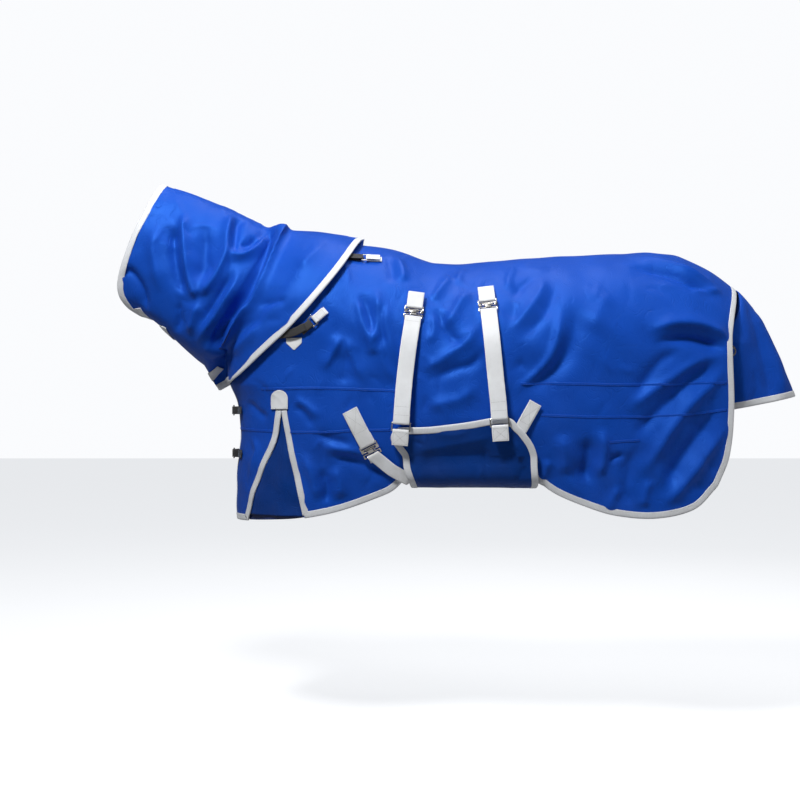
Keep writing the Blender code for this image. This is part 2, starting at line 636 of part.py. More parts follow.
def near_strap(place, points):
    """A strap with its clip above and its slider and tab below. Returns what moves with the wrap."""
    head, foot = strap_head(points), strap_foot(points)
    name = "near_" + place
    looped_tab(name + "_tab", head, -0.0375, CLIP_DEPTH, (TAB_LENGTH * 0.8, TAB_LENGTH), -1)
    clip_plate(name + "_plate", head, -0.0405, CLIP_DEPTH)
    clip_hook(name + "_hook", head, -0.0265 + 0.0005, CLIP_DEPTH)
    radius = METAL_THICK / 2 + LOOP_ROOM + WEBBING_THICK / 2
    top = loop(head, -0.0030, CLIP_DEPTH, WEBBING_THICK, (0, FOLD_BACK * 0.5), 1)[::-1]
    share = np.linspace(0, 1, 9)[1:-1]
    middle, _ = on_body(Line(points).at(share), radius + CLIP_DEPTH + (SLIDER_DEPTH - CLIP_DEPTH) * share)
    bottom = loop(foot, 0.002, SLIDER_DEPTH, WEBBING_THICK, (0, FOLD_BACK * 0.5), -1)
    path = np.vstack([top, middle, bottom])
    turn = np.concatenate([np.zeros(len(top)), share, np.ones(len(bottom))])[:, None]
    sides = head.side * (1 - turn) + foot.side * turn
    sides /= np.linalg.norm(sides, axis=1, keepdims=True)
    ribbon(name + "_strap", path, sides, WEBBING_WIDTH, WEBBING_THICK, "webbing")
    slider = frame(name + "_slider", foot, 0.0, SLIDER_DEPTH, WEBBING_WIDTH, SLIDER_ROWS, 0.004)
    legs = (WRAP_TAB_LENGTH, WRAP_TAB_LENGTH * 0.8)
    tab = looped_tab(name + "_wrap_tab", foot, 0.026, SLIDER_DEPTH, legs, 1)
    return [slider, tab]


def off_strap(place, points):
    """The plain strap that is sewn to the shell and to the wrap on the off side."""
    share = np.linspace(0, 1, 11)
    path = Line([(points[0][0], points[0][1] + 0.06)] + points + [(points[-1][0], points[-1][1] - 0.055)])
    over_wrap = WRAP_CLEARANCE + BINDING_LIFT + BINDING_THICK + 0.002
    lift = WEBBING_LIFT + over_wrap * np.clip(share * 1.35 - 0.1, 0, 1)
    centres, outs = on_body(path.at(share), lift)
    sides = sides_along(centres, outs)
    ribbon("off_" + place + "_strap", centres, sides, WEBBING_WIDTH, WEBBING_THICK, "webbing", off=True)


def surcingles():
    """The straps that cross under the belly inside the wrap, and the clip that shows on the near side."""
    seat = Seat.on_body(SURCINGLE_TAB[-1], np.subtract(SURCINGLE_TAB[-1], SURCINGLE_TAB[-2]) / 0.05)
    tab = loop(seat, -0.0015, CLIP_DEPTH, WEBBING_THICK, (0, FOLD_BACK * 0.6), -1)
    run, _ = on_body(Line(SURCINGLE_TAB).at(np.linspace(0, 0.9, 5)), CLIP_DEPTH + 0.0036)
    path = np.vstack([run, tab])
    ribbon("surcingle_tab", path, [seat.side] * len(path), WEBBING_WIDTH, WEBBING_THICK, "webbing")
    clip_plate("surcingle_plate", seat, -0.0045, CLIP_DEPTH)
    clip_hook("surcingle_hook", seat, 0.010, CLIP_DEPTH)
    start = loop(seat, 0.0333, CLIP_DEPTH, WEBBING_THICK, (0, FOLD_BACK * 0.4), 1)[::-1]
    surcingle("front_surcingle", start, FRONT_SURCINGLE, REAR_SURCINGLE, (0.0185, 0.0115, 0.011), seat.side)
    sewn = [SURCINGLE_TAB[0], SURCINGLE_TAB[-1]] + FRONT_SURCINGLE[1:]
    surcingle("rear_surcingle", [], REAR_SURCINGLE, sewn, (0.011, 0.005, 0.015), None)


def surcingle(name, start, near, off, rises, first_side):
    """A strap from the near side, under the belly, and up to where it's sewn on the off side."""
    share = np.linspace(0, 1, 10)
    lift = SURCINGLE_LIFT - 0.0015 * share**4
    near_run, near_out = on_body(Line(near).at(share), lift)
    off_run, off_out = on_body(Line(off[::-1]).at(share), lift[::-1])
    off_run, off_out = off_run * (1, -1, 1), off_out * (1, -1, 1)
    first, last = near_run[-1], off_run[0]
    under = []
    for share, rise in zip((0.085, 0.5, 0.915), rises):
        x, y = (first + (last - first) * share)[:2]
        under.append((x, y, belly_floor(x, y) + OUTER_THICK + rise))
    centres = np.vstack([near_run, under, off_run])
    outs = np.vstack([near_out, [(0, -0.4, -1), (0, 0, -1), (0, 0.4, -1)], off_out])
    sides = sides_along(centres, outs)
    if len(start):
        centres = np.vstack([start, centres])
        sides = np.vstack([[first_side] * len(start), sides])
    ribbon(name, centres, sides, SURCINGLE_WIDTH, WEBBING_THICK, "webbing")


def neck_clips():
    """The square loops that join the neck cover's elastic to the shell's tabs on the near side."""
    for place, (point, toward) in (("upper", UPPER_CLIP), ("lower", LOWER_CLIP)):
        seat = Seat.on_body(point, toward)
        name = "near_" + place + "_neck"
        width = SMALL_WEBBING_WIDTH
        looped_tab(name + "_tab", seat, 0.002, CLIP_DEPTH, (0.040, 0.046), -1, width=width)
        frame(name + "_loop", seat, 0.0, CLIP_DEPTH, width, LOOP_ROWS, LOOP_BAND)
        legs = (0.045, 0.040)
        looped_tab(name + "_elastic", seat, 0.019, CLIP_DEPTH, legs, 1, "elastic", width, thick=0.002)


def chest_closures():
    """Two straps across the chest opening, each through a square loop that a tab holds on the near side."""
    for place, z in zip(("upper", "lower"), CHEST_HEIGHTS):
        front = chest_x(z)
        seat = Seat((front - 0.002, -0.030, z), (0, -1, 0), (-1, 0, 0))
        width = SMALL_WEBBING_WIDTH
        name = "chest_" + place
        depth = 0.013
        frame(name + "_loop", seat, -0.011, depth, width, LOOP_ROWS, LOOP_BAND)
        tab = loop(seat, 0.008, depth, WEBBING_THICK, (0, 0.015), 1)[::-1]
        path = tab[::-1] + chest_band(z, (-0.065, -0.085, -0.105), 0.006)
        ribbon(name + "_tab", path, [seat.side] * len(path), width, WEBBING_THICK, "webbing")
        strap = loop(seat, -0.009, depth, WEBBING_THICK, (0.010, 0.0), -1)
        path = chest_band(z, (0.025, 0.06, 0.085, 0.11), 0.007)[::-1] + strap
        ribbon(name + "_strap", path, [seat.side] * len(path), width, WEBBING_THICK, "elastic")


def chest_band(z, places, lift):
    """Points on the front of the chest at these distances across it."""
    x = np.linspace(0, 0.08, 200) + chest_x(z)
    width = half_width(x, np.full_like(x, z))
    return [np.array((np.interp(abs(y), width, x) - lift, y, z)) for y in places]


def rear_rings():
    """The D-rings at the rear corners, which the tail cord or leg straps clip to."""
    for side in ("near", "off"):
        off = side == "off"
        seat = Seat.on_body(REAR_RING, (0.8, -0.6))
        looped_tab(side + "_ring_tab", seat, 0.0015, RING_DEPTH, (0.034, 0.030), -1, width=0.020, off=off)
        ring = d_ring(side + "_ring", seat, off)
        x, y, z = seat.at(0, 0, RING_DEPTH)
        moving(side + "_ring_swing", (x, -y if off else y, z), [ring])


def d_ring(name, seat, off):
    """A flat-stamped D-ring that hangs from its tab."""
    outlines = []
    for grow in (RING_BAND / 2, -RING_BAND / 2):
        r = RING_RADIUS + grow
        arc = [(r * math.cos(a), 0.004 + r * math.sin(a)) for a in np.linspace(0, math.pi, 13)]
        outlines.append([(r, -grow)] + arc + [(-r, -grow)])
    curve = bpy.data.curves.new(name, "CURVE")
    curve.dimensions = "2D"
    curve.fill_mode = "BOTH"
    curve.extrude = METAL_THICK / 2
    for outline in outlines:
        run = curve.splines.new("POLY")
        run.points.add(len(outline) - 1)
        for point, (x, y) in zip(run.points, outline):
            point.co = (x, y, 0, 1)
        run.use_cyclic_u = True
    curve.materials.append(material("metal"))
    obj = bpy.data.objects.new(name, curve)
    bpy.data.collections["turnout_rug"].objects.link(obj)
    place = Seat(seat.at(0, 0, RING_DEPTH), seat.along, seat.out)
    if off:
        mirror = np.array((1, -1, 1))
        place = Seat(place.origin * mirror, place.along * mirror, place.out * mirror)
    obj.matrix_world = place.matrix()
    return obj


def main():
    for obj in list(bpy.data.objects):
        bpy.data.objects.remove(obj)
    new_collection("turnout_rug")
    new_collection("cutters", helper=True)
    shell_side("near")
    shell_side("off")
    inside = -(OUTER_THICK + LINING_GAP)
    cloth("lining", across(body_surface), (30, 20), LINING_THICK, "lining", lift=inside)
    neck_cover()
    tail_flap()
    belly_wrap()
    surcingles()
    neck_clips()
    chest_closures()
    rear_rings()


main()
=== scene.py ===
"""A turnout rug for a horse: folded cloth, tape bindings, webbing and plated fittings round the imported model.

Metres, +Z up. +X runs from the withers to the tail, and the near side (the horse's left) is -Y.
Cloth is worked out on grids of two shares, u along the rug and v down it, both from 0 to 1.
"""

from __future__ import annotations

import logging
import math
from dataclasses import dataclass, field, replace
from enum import Enum
from typing import Callable, Optional, Sequence

import bmesh
import bpy
import numpy as np
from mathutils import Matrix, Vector


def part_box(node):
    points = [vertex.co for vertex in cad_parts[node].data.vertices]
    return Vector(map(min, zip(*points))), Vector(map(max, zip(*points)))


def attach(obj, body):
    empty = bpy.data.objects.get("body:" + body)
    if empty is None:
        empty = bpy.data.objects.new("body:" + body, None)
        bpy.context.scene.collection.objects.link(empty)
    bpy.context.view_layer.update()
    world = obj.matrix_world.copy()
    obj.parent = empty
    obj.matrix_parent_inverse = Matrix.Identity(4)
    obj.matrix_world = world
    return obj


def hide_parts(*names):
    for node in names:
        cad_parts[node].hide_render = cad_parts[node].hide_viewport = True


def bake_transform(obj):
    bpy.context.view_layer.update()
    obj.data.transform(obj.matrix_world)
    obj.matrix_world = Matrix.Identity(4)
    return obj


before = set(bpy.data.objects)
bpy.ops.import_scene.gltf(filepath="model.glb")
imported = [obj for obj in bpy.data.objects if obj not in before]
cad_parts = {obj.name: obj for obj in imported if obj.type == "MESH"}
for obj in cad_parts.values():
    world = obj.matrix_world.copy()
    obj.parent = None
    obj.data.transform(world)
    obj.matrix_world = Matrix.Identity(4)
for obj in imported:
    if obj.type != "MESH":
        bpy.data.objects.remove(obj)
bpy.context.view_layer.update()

Array = np.ndarray
Piece = bpy.types.Object
Pair = tuple[float, float]
log = logging.getLogger("turnout_rug")

MM = 0.001
OUTER_THICK = 3 * MM
LINING_GAP = 8 * MM
BACK_GAP = 0.6 * MM
CHEST_GAP = 16 * MM
WEBBING_THICK = 2.5 * MM
WEBBING_WIDTH = 50 * MM
SMALL_WEBBING = 25 * MM
METAL_THICK = 2.5 * MM
LOOP_ROOM = 1.2 * MM
CLIP_DEPTH = 8 * MM
SLIDER_DEPTH = 29.5 * MM
RING_DEPTH = -23 * MM
BELLY_Z = -0.790
BELLY_ROUND = 0.105
WRAP_CLEARANCE = 18 * MM
STITCH_INSET = 14.5 * MM
STITCH_LIFT = 1.6 * MM


def outline(*values: float) -> tuple[Pair, ...]:
    """A curve's points in metres from millimetres, x and z in turn."""
    return tuple((x * MM, z * MM) for x, z in zip(values[::2], values[1::2]))


TOPLINE = outline(-650, 198, -535, 158, -436, 119, -337, 72, -238, 36, -89, 18, 0, 0, 109, -18, 208, -52, 257, -63,
                 356, -63, 505, -50, 653, -40, 851, -33, 1000, -33, 1060, -47, 1148, -88, 1224, -145)
NECKLINE = outline(-425, -462, -345, -375, -225, -205, -145, -85, -89, 18)
CHEST_FRONT = outline(-425, -462, -402, -520, -391, -617, -400, -716, -405, -815, -404, -897)
HEM = outline(-404, -897, -285, -889, -179, -880, -57, -856, 64.5, -813, 113, -789, 145, -757, 190, -722, 260, -704,
             360, -700, 440, -706, 500, -724, 545, -751, 612, -799, 704, -838, 795, -865, 917, -874, 1038, -847, 1114,
             -777)
REAR_EDGE = outline(1224, -145, 1200, -200, 1175, -270, 1163, -351, 1166, -548, 1151, -685, 1114, -777)
SLIT_FRONT = outline(-252, -548, -270, -640, -305, -715, -340, -800, -372, -905)
SLIT_REAR = outline(-224, -548, -205, -660, -180, -770, -150, -905)
BODY_WIDTH = outline(-450, 250, -200, 268, 0, 288, 200, 315, 400, 335, 700, 335, 950, 318, 1100, 288, 1250, 250)
POLL_EDGE = outline(-650, 198, -690, 105, -732, 12, -772, -105, -778, -165, -757, -207, -722, -235)
CREST = outline(-650, 198, -585, 178, -528, 156, -429, 118, -380, 94, -330, 69, -303, 57, -275, 62)
CREST_REAR = outline(-275, 62, -248, 60, -228, 47, -180, 42, -89, 36, 12, 20)
THROAT = outline(-722, -235, -680, -246, -634, -288, -590, -330, -540, -376, -512, -398)
THROAT_REAR = outline(-512, -398, -492, -432, -464, -478)
YOKE_REAR = outline(12, 20, -50, -90, -130, -195, -215, -288, -294, -358, -379, -428, -464, -478)
FLAP_CENTRE = outline(1236, -150, 1297, -218, 1346, -314, 1396, -416, 1429, -495)
FLAP_SIDE = outline(1205, -235, 1150, -320, 1125, -430, 1120, -550)
WRAP_TOP = outline(108, -612, 128, -599, 216.5, -597, 338, -582, 429, -566, 468, -570, 492, -592)
WRAP_FRONT = ((0.0, 0.108), (0.15, 0.106), (0.35, 0.123), (0.65, 0.160), (1.0, 0.174))
WRAP_REAR = ((0.0, 0.492), (0.12, 0.512), (0.35, 0.540), (0.65, 0.554), (1.0, 0.556))
FRONT_STRAP = outline(172, -262, 160, -350, 150, -440, 143, -530, 140, -578)
REAR_STRAP = outline(405, -240, 412, -320, 422, -430, 431, -520, 434, -565)
SURCINGLE_TAB = outline(-22, -543, 10, -605, 34, -650)
FRONT_SURCINGLE = outline(78, -702, 105, -724, 138, -744, 164, -757.5)
REAR_SURCINGLE = outline(545, -520, 520, -565, 488, -620, 455, -670, 430, -712, 419, -730)


# ---------------------------------------------------------------- curves
def smooth(share: Array) -> Array:
    """An S-shaped step: 3t squared less 2t cubed, held at 0 and 1 outside its range."""
    held = np.clip(share, 0, 1)
    return held * held * (3 - 2 * held)


def spline(points: Sequence[Sequence[float]], samples: int = 16) -> Array:
    """A Catmull-Rom curve through points, each run a cubic of its share of the way.

    Args:
        points: What the curve passes through.
        samples: Steps in each run.

    Returns:
        The curve as one array, a row for each point.
    """
    given = np.array(points, float)
    p = np.vstack([2 * given[0] - given[1], given, 2 * given[-1] - given[-2]])
    t = np.linspace(0, 1, samples, endpoint=False)[None, :, None]
    a, b, c, d = (p[i:len(p) - 3 + i, None, :] for i in range(4))
    runs = 0.5 * (2 * b + (c - a) * t + (2 * a - 5 * b + 4 * c - d) * t**2 + (3 * b - a - 3 * c + d) * t**3)
    return np.vstack([runs.reshape(-1, given.shape[1]), given[-1]])


def lengths(points: Array) -> Array:
    """How far along each point lies, in metres: the running sum of the steps."""
    return np.concatenate([[0], np.cumsum(np.linalg.norm(np.diff(points, axis=0), axis=1))])


def table_at(places: Array, along: Array, table: Array) -> Array:
    """A table's rows at these places, by straight interpolation of each column."""
    return np.stack([np.interp(places, along, column) for column in table.T], axis=-1)


def even(points: Array, step: float, ease: int = 3) -> Array:
    """A line read again at even steps and eased, each pass moving a point half way to its neighbours' middle.

    Args:
        points: The line, a row for each point.
        step: The new distance between points.
        ease: How many passes of easing.

    Returns:
        The new line, with the same two ends.
    """
    total = lengths(points)[-1]
    line = table_at(np.linspace(0, total, max(int(total / step), 4) + 1), lengths(points), points)
    for _ in range(ease):
        line[1:-1] = line[1:-1] / 2 + (line[:-2] + line[2:]) / 4
    return line


def unit(vectors: Array) -> Array:
    """The same directions with a length of 1."""
    return vectors / np.maximum(np.linalg.norm(vectors, axis=-1, keepdims=True), 1e-12)


def ahead(points: Array) -> Array:
    """The direction of travel at each point of a line."""
    return unit(np.gradient(points, axis=0))


def grid(*columns: Array) -> Array:
    """Arrays side by side as the parts of one array of points or directions."""
    return np.stack(columns, axis=-1)


def pairs(x: Array, z: Array) -> Array:
    """Rows of (x, z) from two arrays of any shape."""
    return grid(np.ravel(x), np.ravel(z))


class Line:
    """Smooth curves end to end, read by the share of their length from 0 to 1."""

    def __init__(self, *runs: Sequence[Pair], knee: float = 0.0) -> None:
        """Joins the runs. With a knee, the first run ends at that share and the rest takes what is left."""
        curves = [spline(run) for run in runs]
        self.points = np.vstack(curves)
        self.share = lengths(self.points)
        self.share /= self.share[-1]
        if knee:
            turn = self.share[len(curves[0]) - 1]
            self.share = np.interp(self.share, [0, turn, 1], [0, knee, 1])

    def at(self, share: Array) -> Array:
        """The points at these shares."""
        return table_at(share, self.share, self.points)


def reader(points: Sequence[Pair]) -> Callable[[Array], Array]:
    """A function that gives a curve's second value from its first, which has to increase."""
    line = spline(points)
    return lambda value: np.interp(value, line[:, 0], line[:, 1])


def by_height(points: Sequence[Pair]) -> Callable[[Array], Array]:
    """A function that gives x from z on a curve that runs downwards."""
    return reader([(z, x) for x, z in reversed(points)])


def patch(edges: tuple[Line, Line, Line, Line], u: Array, v: Array) -> tuple[Array, Array]:
    """A Coons patch: the blend along, plus the blend across, less the blend of its four corners.

    Args:
        edges: The bottom, top, left and right curves.
        u: Share along top and bottom.
        v: Share from top to bottom.

    Returns:
        x and z of each point.
    """
    bottom, top, left, right = edges
    one, two = u[..., None], v[..., None]
    start, end = top.at(np.array([0.0, 1.0])), bottom.at(np.array([0.0, 1.0]))
    along = (1 - two) * top.at(u) + two * bottom.at(u)
    across = (1 - one) * left.at(v) + one * right.at(v)
    corners = (1 - one) * ((1 - two) * start[0] + two * end[0]) + one * ((1 - two) * start[1] + two * end[1])
    points = along + across - corners
    return points[..., 0], points[..., 1]


# ---------------------------------------------------------------- folds
@dataclass(frozen=True)
class Fold:
    """A ridge, or a valley where height is negative, along a line of side-view points.

    Its section is height times e to the minus (distance over width) to the power 1.6, which has a sharper crest
    than a bell, and lean makes the flank on the left of the line steeper. It dies away towards both ends.
    """

    line: tuple[Pair, ...]
    width: float
    height: float
    lean: float = 0.0
    tip: float = 0.3

    def at(self, x: Array, z: Array) -> Array:
        """How far the fold lifts the cloth at these side-view points."""
        run = spline(self.line, 8)
        points = pairs(x, z)
        reach = 3.2 * self.width * (1 + abs(self.lean))
        near = np.all((points > run.min(0) - reach) & (points < run.max(0) + reach), axis=1)
        lift = np.zeros(len(points))
        if near.any():
            lift[near] = self._section(points[near], run)
        return lift.reshape(x.shape)

    def _section(self, points: Array, run: Array) -> Array:
        """The lift of points near the line, from the closest place on any of its steps."""
        start, step = run[:-1], np.diff(run, axis=0)
        away = points[:, None, :] - start
        share = np.clip((away * step).sum(-1) / (step**2).sum(-1), 0, 1)
        off = away - share[..., None] * step
        gap = np.linalg.norm(off, axis=-1)
        best = gap.argmin(axis=1)
        rows = np.arange(len(points))
        left = np.sign(step[best, 0] * off[rows, best, 1] - step[best, 1] * off[rows, best, 0])
        place = (best + share[rows, best]) / len(step)
        ends = smooth(place / self.tip) * smooth((1 - place) / self.tip)
        return self.height * ends * np.exp(-((gap[rows, best] / (self.width * (1 - self.lean * left))) ** 1.6))


@dataclass(frozen=True)
class FoldMap:
    """All the folds of one piece of cloth, with small puckers and a low rolling unevenness between them.

    area is the side-view box that the puckers are spread over, as its least x and z and its greatest x and z.
    """

    folds: tuple[Fold, ...]
    seed: int
    area: tuple[float, float, float, float]
    puckers: int = 0
    roll: float = 1.4 * MM
    gain: float = 1.0

    def small(self) -> tuple[Fold, ...]:
        """Seeded short folds, 50 to 130 mm long and 2 to 4 mm high, that run down and a little aslant."""
        draw = np.random.default_rng(self.seed + 100)
        made = []
        for _ in range(self.puckers):
            x, z = draw.uniform(self.area[:2], self.area[2:])
            turn, reach = draw.normal(-1.35, 0.55), draw.uniform(0.025, 0.065)
            step = np.array([math.cos(turn), math.sin(turn)]) * reach
            bend = np.array([-step[1], step[0]]) * draw.uniform(-0.35, 0.35)
            line = ((x - step[0], z - step[1]), (x + bend[0], z + bend[1]), (x + step[0], z + step[1]))
            made.append(Fold(line, draw.uniform(0.007, 0.013), draw.choice([-1, 1]) * draw.uniform(0.002, 0.004), 0,
                             0.45))
        return tuple(made)

    def at(self, x: Array, z: Array) -> Array:
        """The sum of the folds and of 14 seeded sine waves at these side-view points."""
        lift = np.zeros(x.shape)
        for fold in self.folds:
            lift = lift + self.gain * fold.at(x, z)
        for fold in self.small():
            lift = lift + fold.at(x, z)
        draw = np.random.default_rng(self.seed)
        turn, phase = draw.uniform(0, math.tau, (2, 14))
        pace = math.tau / draw.uniform(0.07, 0.30, 14)
        waves = np.sin(x[..., None] * np.cos(turn) * pace + z[..., None] * np.sin(turn) * pace + phase)
        return lift + self.roll * waves.sum(-1) / 3

    def varied(self, seed: int) -> FoldMap:
        """The other side's folds: the same kinds, moved about by up to 35 mm and made a little lower."""
        draw = np.random.default_rng(seed)
        made = []
        for fold in self.folds:
            shift = draw.uniform(-0.035, 0.035, 2)
            line = tuple((x + shift[0], z + shift[1]) for x, z in fold.line)
            made.append(replace(fold, line=line, height=fold.height * draw.uniform(0.5, 0.95)))
        return replace(self, folds=tuple(made), seed=seed)


def from_rows(*rows: tuple[float, ...]) -> tuple[Fold, ...]:
    """Folds from rows of width, height, lean and tip, then x and z of each point, with every length in millimetres."""
    return tuple(Fold(outline(*row[4:]), row[0] * MM, row[1] * MM, *row[2:4]) for row in rows)


BODY_FOLDS = FoldMap(from_rows(
    (30, -15, 0, 0.3, 671, -194, 659, -317, 625, -394, 557, -450, 483, -490),
    (18, 13, -0.3, 0.3, 640, -190, 603, -351, 554, -425, 477, -487),
    (16, 8, 0, 0.3, 588, -111, 566, -182, 517, -247, 465, -311),
    (18, -7, 0, 0.3, 622, -136, 600, -200, 560, -268, 483, -336),
    (17, 8, 0, 0.3, 388, -253, 341, -330, 295, -364, 237, -401, 197, -422),
    (16, -8, 0, 0.3, 403, -342, 354, -401, 304, -416, 197, -459),
    (17, 9, 0, 0.3, 360, -173, 323, -203, 292, -259, 255, -296),
    (14, 8, 0, 0.3, 317, -96, 277, -142, 246, -182, 231, -207),
    (15, -8, 0, 0.3, 243, -219, 264, -271, 292, -317, 326, -342),
    (12, 6, 0, 0.3, 231, -240, 237, -296, 218, -342),
    (22, 7, 0, 0.3, 378, -456, 323, -505, 255, -524, 209, -533),
    (11, 7, 0, 0.3, 348, -86, 323, -117, 311, -157),
    (10, -6, 0, 0.3, 330, -75, 300, -105, 290, -140),
    (18, 10, 0, 0.3, -13, -170, 15, -259, 46, -342, 52, -379),
    (16, -8, 0, 0.3, 10, -170, 35, -250, 55, -320),
    (14, 9, 0, 0.3, 55, -151, 66, -234, 60, -299, 45, -350),
    (14, 8, 0, 0.3, 95, -194, 89, -280, 107, -342, 126, -413),
    (13, -7, 0, 0.3, 75, -200, 72, -280, 88, -350),
    (16, 8, 0.3, 0.3, -40, -305, -74, -364, -108, -425),
    (17, 8, -0.3, 0.3, -40, -305, -13, -382, 27, -471),
    (28, -7, 0, 0.3, -36, -350, -40, -420, -45, -470),
    (15, 6, 0, 0.3, 70, -327, 83, -394, 117, -465),
    (14, 9, 0, 0.3, 117, -46, 138, -105, 144, -148),
    (13, -6, 0, 0.3, 90, -46, 105, -100, 108, -150),
    (16, -10, 0.2, 0.3, -105, -684, -22, -696, 49, -718, 101, -746),
    (14, 8, 0, 0.3, -120, -655, -22, -668, 52, -690),
    (12, -7, 0, 0.3, -139, -613, -71, -635, -10, -650),
    (15, 9, 0, 0.3, -170, -670, -140, -758, -118, -830),
    (20, 9, 0, 0.3, -84, -717, -55, -766, -62, -830),
    (14, -8, 0, 0.3, -115, -720, -95, -780, -100, -840),
    (12, 6, 0, 0.3, -201, -505, -158, -530, -114, -573),
    (12, -6, 0, 0.3, -205, -525, -165, -555, -135, -600),
    (12, 7, 0, 0.3, -345, -625, -320, -665, -334, -721, -352, -789),
    (12, -6, 0, 0.3, -358, -511, -322, -548, -280, -573),
    (16, -16, 0.4, 0.3, 840, -88, 920, -93, 991, -113, 1062, -152, 1150, -195),
    (14, 14, 0, 0.3, 850, -52, 930, -62, 998, -83, 1068, -120, 1150, -160),
    (12, 8, 0, 0.3, 1040, -165, 1090, -170, 1160, -165),
    (20, 15, -0.45, 0.26, 885, -306, 954, -283, 1013, -278, 1074, -286, 1121, -304, 1165, -335),
    (18, -18, 0.3, 0.32, 900, -345, 954, -325, 1013, -320, 1074, -329, 1121, -342, 1155, -360),
    (22, 13, 0, 0.3, 1150, -385, 1096, -461, 1025, -526, 954, -615, 908, -690, 859, -755),
    (18, 9, 0, 0.3, 1142, -365, 1038, -400, 954, -453, 877, -505, 819, -555),
    (22, -11, 0, 0.3, 1135, -385, 1050, -434, 970, -502, 887, -585, 847, -635),
    (22, 12, 0, 0.3, 1155, -576, 1096, -653, 1038, -730, 979, -801, 933, -841),
    (24, -13, 0, 0.3, 1128, -525, 1055, -615, 985, -714, 928, -813),
    (20, -9, 0, 0.3, 1025, -345, 939, -388, 884, -450, 843, -511),
    (18, 12, 0.3, 0.3, 752, -590, 758, -681, 738, -758),
    (26, -13, 0, 0.3, 700, -620, 712, -700, 690, -770),
    (24, 10, 0, 0.3, 620, -610, 640, -680, 640, -750),
    (9, -7, 0, 0.3, 766, -700, 791, -688, 826, -678),
    (20, -8, 0, 0.3, 871, -635, 840, -712, 826, -789, 851, -850),
    (16, 8, 0, 0.3, 905, -750, 885, -800, 880, -850),
    (14, 8, 0, 0.3, 590, -690, 578, -727, 565, -764),
    (14, 8, 0, 0.3, 810, -770, 785, -820, 780, -860),
    (30, 6, 0, 0.3, 785, -173, 748, -234, 717, -311),
    (12, 7, 0, 0.3, 502, -66, 477, -126, 465, -173),
    (12, -6, 0, 0.3, 475, -203, 512, -157, 558, -123),
    (14, 5, 0, 0.3, 520, -75, 545, -100, 610, -105),
), seed=11, area=(-0.35, -0.80, 1.15, -0.08), puckers=80, gain=1.35)

NECK_FOLDS = FoldMap(from_rows(
    (21, 24, 0.35, 0.12, -246, 75, -250, 30, -262, -16, -284, -89, -322, -185, -370, -262, -424, -326, -487, -385),
    (24, -28, 0.1, 0.12, -293, 50, -292, 0, -306, -70, -332, -144, -374, -217, -425, -288, -485, -358),
    (11, 14, -0.3, 0.2, -345, -200, -370, -249, -405, -297, -440, -336),
    (11, 14, 0.3, 0.22, -412, -30, -386, -50, -354, -43, -325, -16, -309, 13, -290, 45),
    (14, -12, 0, 0.3, -385, -12, -352, -8, -330, 20),
    (16, 15, 0.2, 0.15, -415, 96, -421, 26, -424, -51, -463, -134, -507, -185),
    (15, -12, 0, 0.2, -392, 85, -396, 20, -400, -40),
    (16, 15, -0.2, 0.15, -568, 96, -562, 6, -549, -80, -533, -147, -512, -192),
    (26, -13, 0, 0.3, -495, 70, -490, -16, -495, -89, -506, -145),
    (17, -14, 0, 0.2, -595, 50, -592, -30, -580, -110, -560, -180),
    (20, 10, 0, 0.3, -645, 60, -660, -16, -650, -89, -635, -179),
    (15, 12, 0, 0.3, -370, -86, -399, -160, -437, -217, -488, -288, -525, -340),
    (15, -12, 0, 0.3, -400, -95, -430, -160, -465, -215, -510, -290),
    (14, 11, 0, 0.3, -515, -200, -525, -249, -547, -304),
    (13, -9, 0, 0.3, -575, -192, -575, -249, -588, -300),
    (16, -12, 0.2, 0.2, -770, -85, -728, -105, -697, -160, -688, -230),
    (30, -6, 0, 0.3, -188, -50, -236, -150, -309, -239, -380, -330),
    (20, 6, 0, 0.3, -100, -10, -149, -60, -188, -102),
    (18, 8, 0, 0.3, -300, -262, -357, -326, -410, -377),
    (12, -6, 0, 0.3, -330, -214, -262, -203, -215, -205),
), seed=5, area=(-0.66, -0.40, -0.24, 0.12), puckers=34, roll=1.2 * MM, gain=1.35)

WRAP_FOLDS = FoldMap(from_rows(
    (18, 5, 0, 0.3, 147, -679, 254, -655, 361, -634, 452, -619),
    (20, -5, 0, 0.3, 169, -725, 269, -700, 376, -680, 493, -685),
    (14, 4, 0, 0.3, 230, -612, 300, -618, 350, -600),
    (16, 5, 0, 0.3, 470, -630, 500, -670, 510, -730),
), seed=7, area=(0.12, -0.78, 0.54, -0.60), puckers=10, roll=1.0 * MM)

FLAP_FOLDS = FoldMap(from_rows(
    (24, -10, 0, 0.2, 1245, -175, 1277, -299, 1300, -414, 1318, -535),
    (24, 8, 0, 0.2, 1266, -215, 1323, -347, 1368, -520),
    (26, 9, 0, 0.2, 1200, -300, 1205, -400, 1215, -550),
), seed=9, area=(1.2, -0.5, 1.4, -0.2), puckers=6, roll=1.0 * MM)


# ---------------------------------------------------------------- meshes
def placed_in_scene(obj: Piece) -> Piece:
    """Adds an object to the scene."""
    bpy.context.scene.collection.objects.link(obj)
    return obj


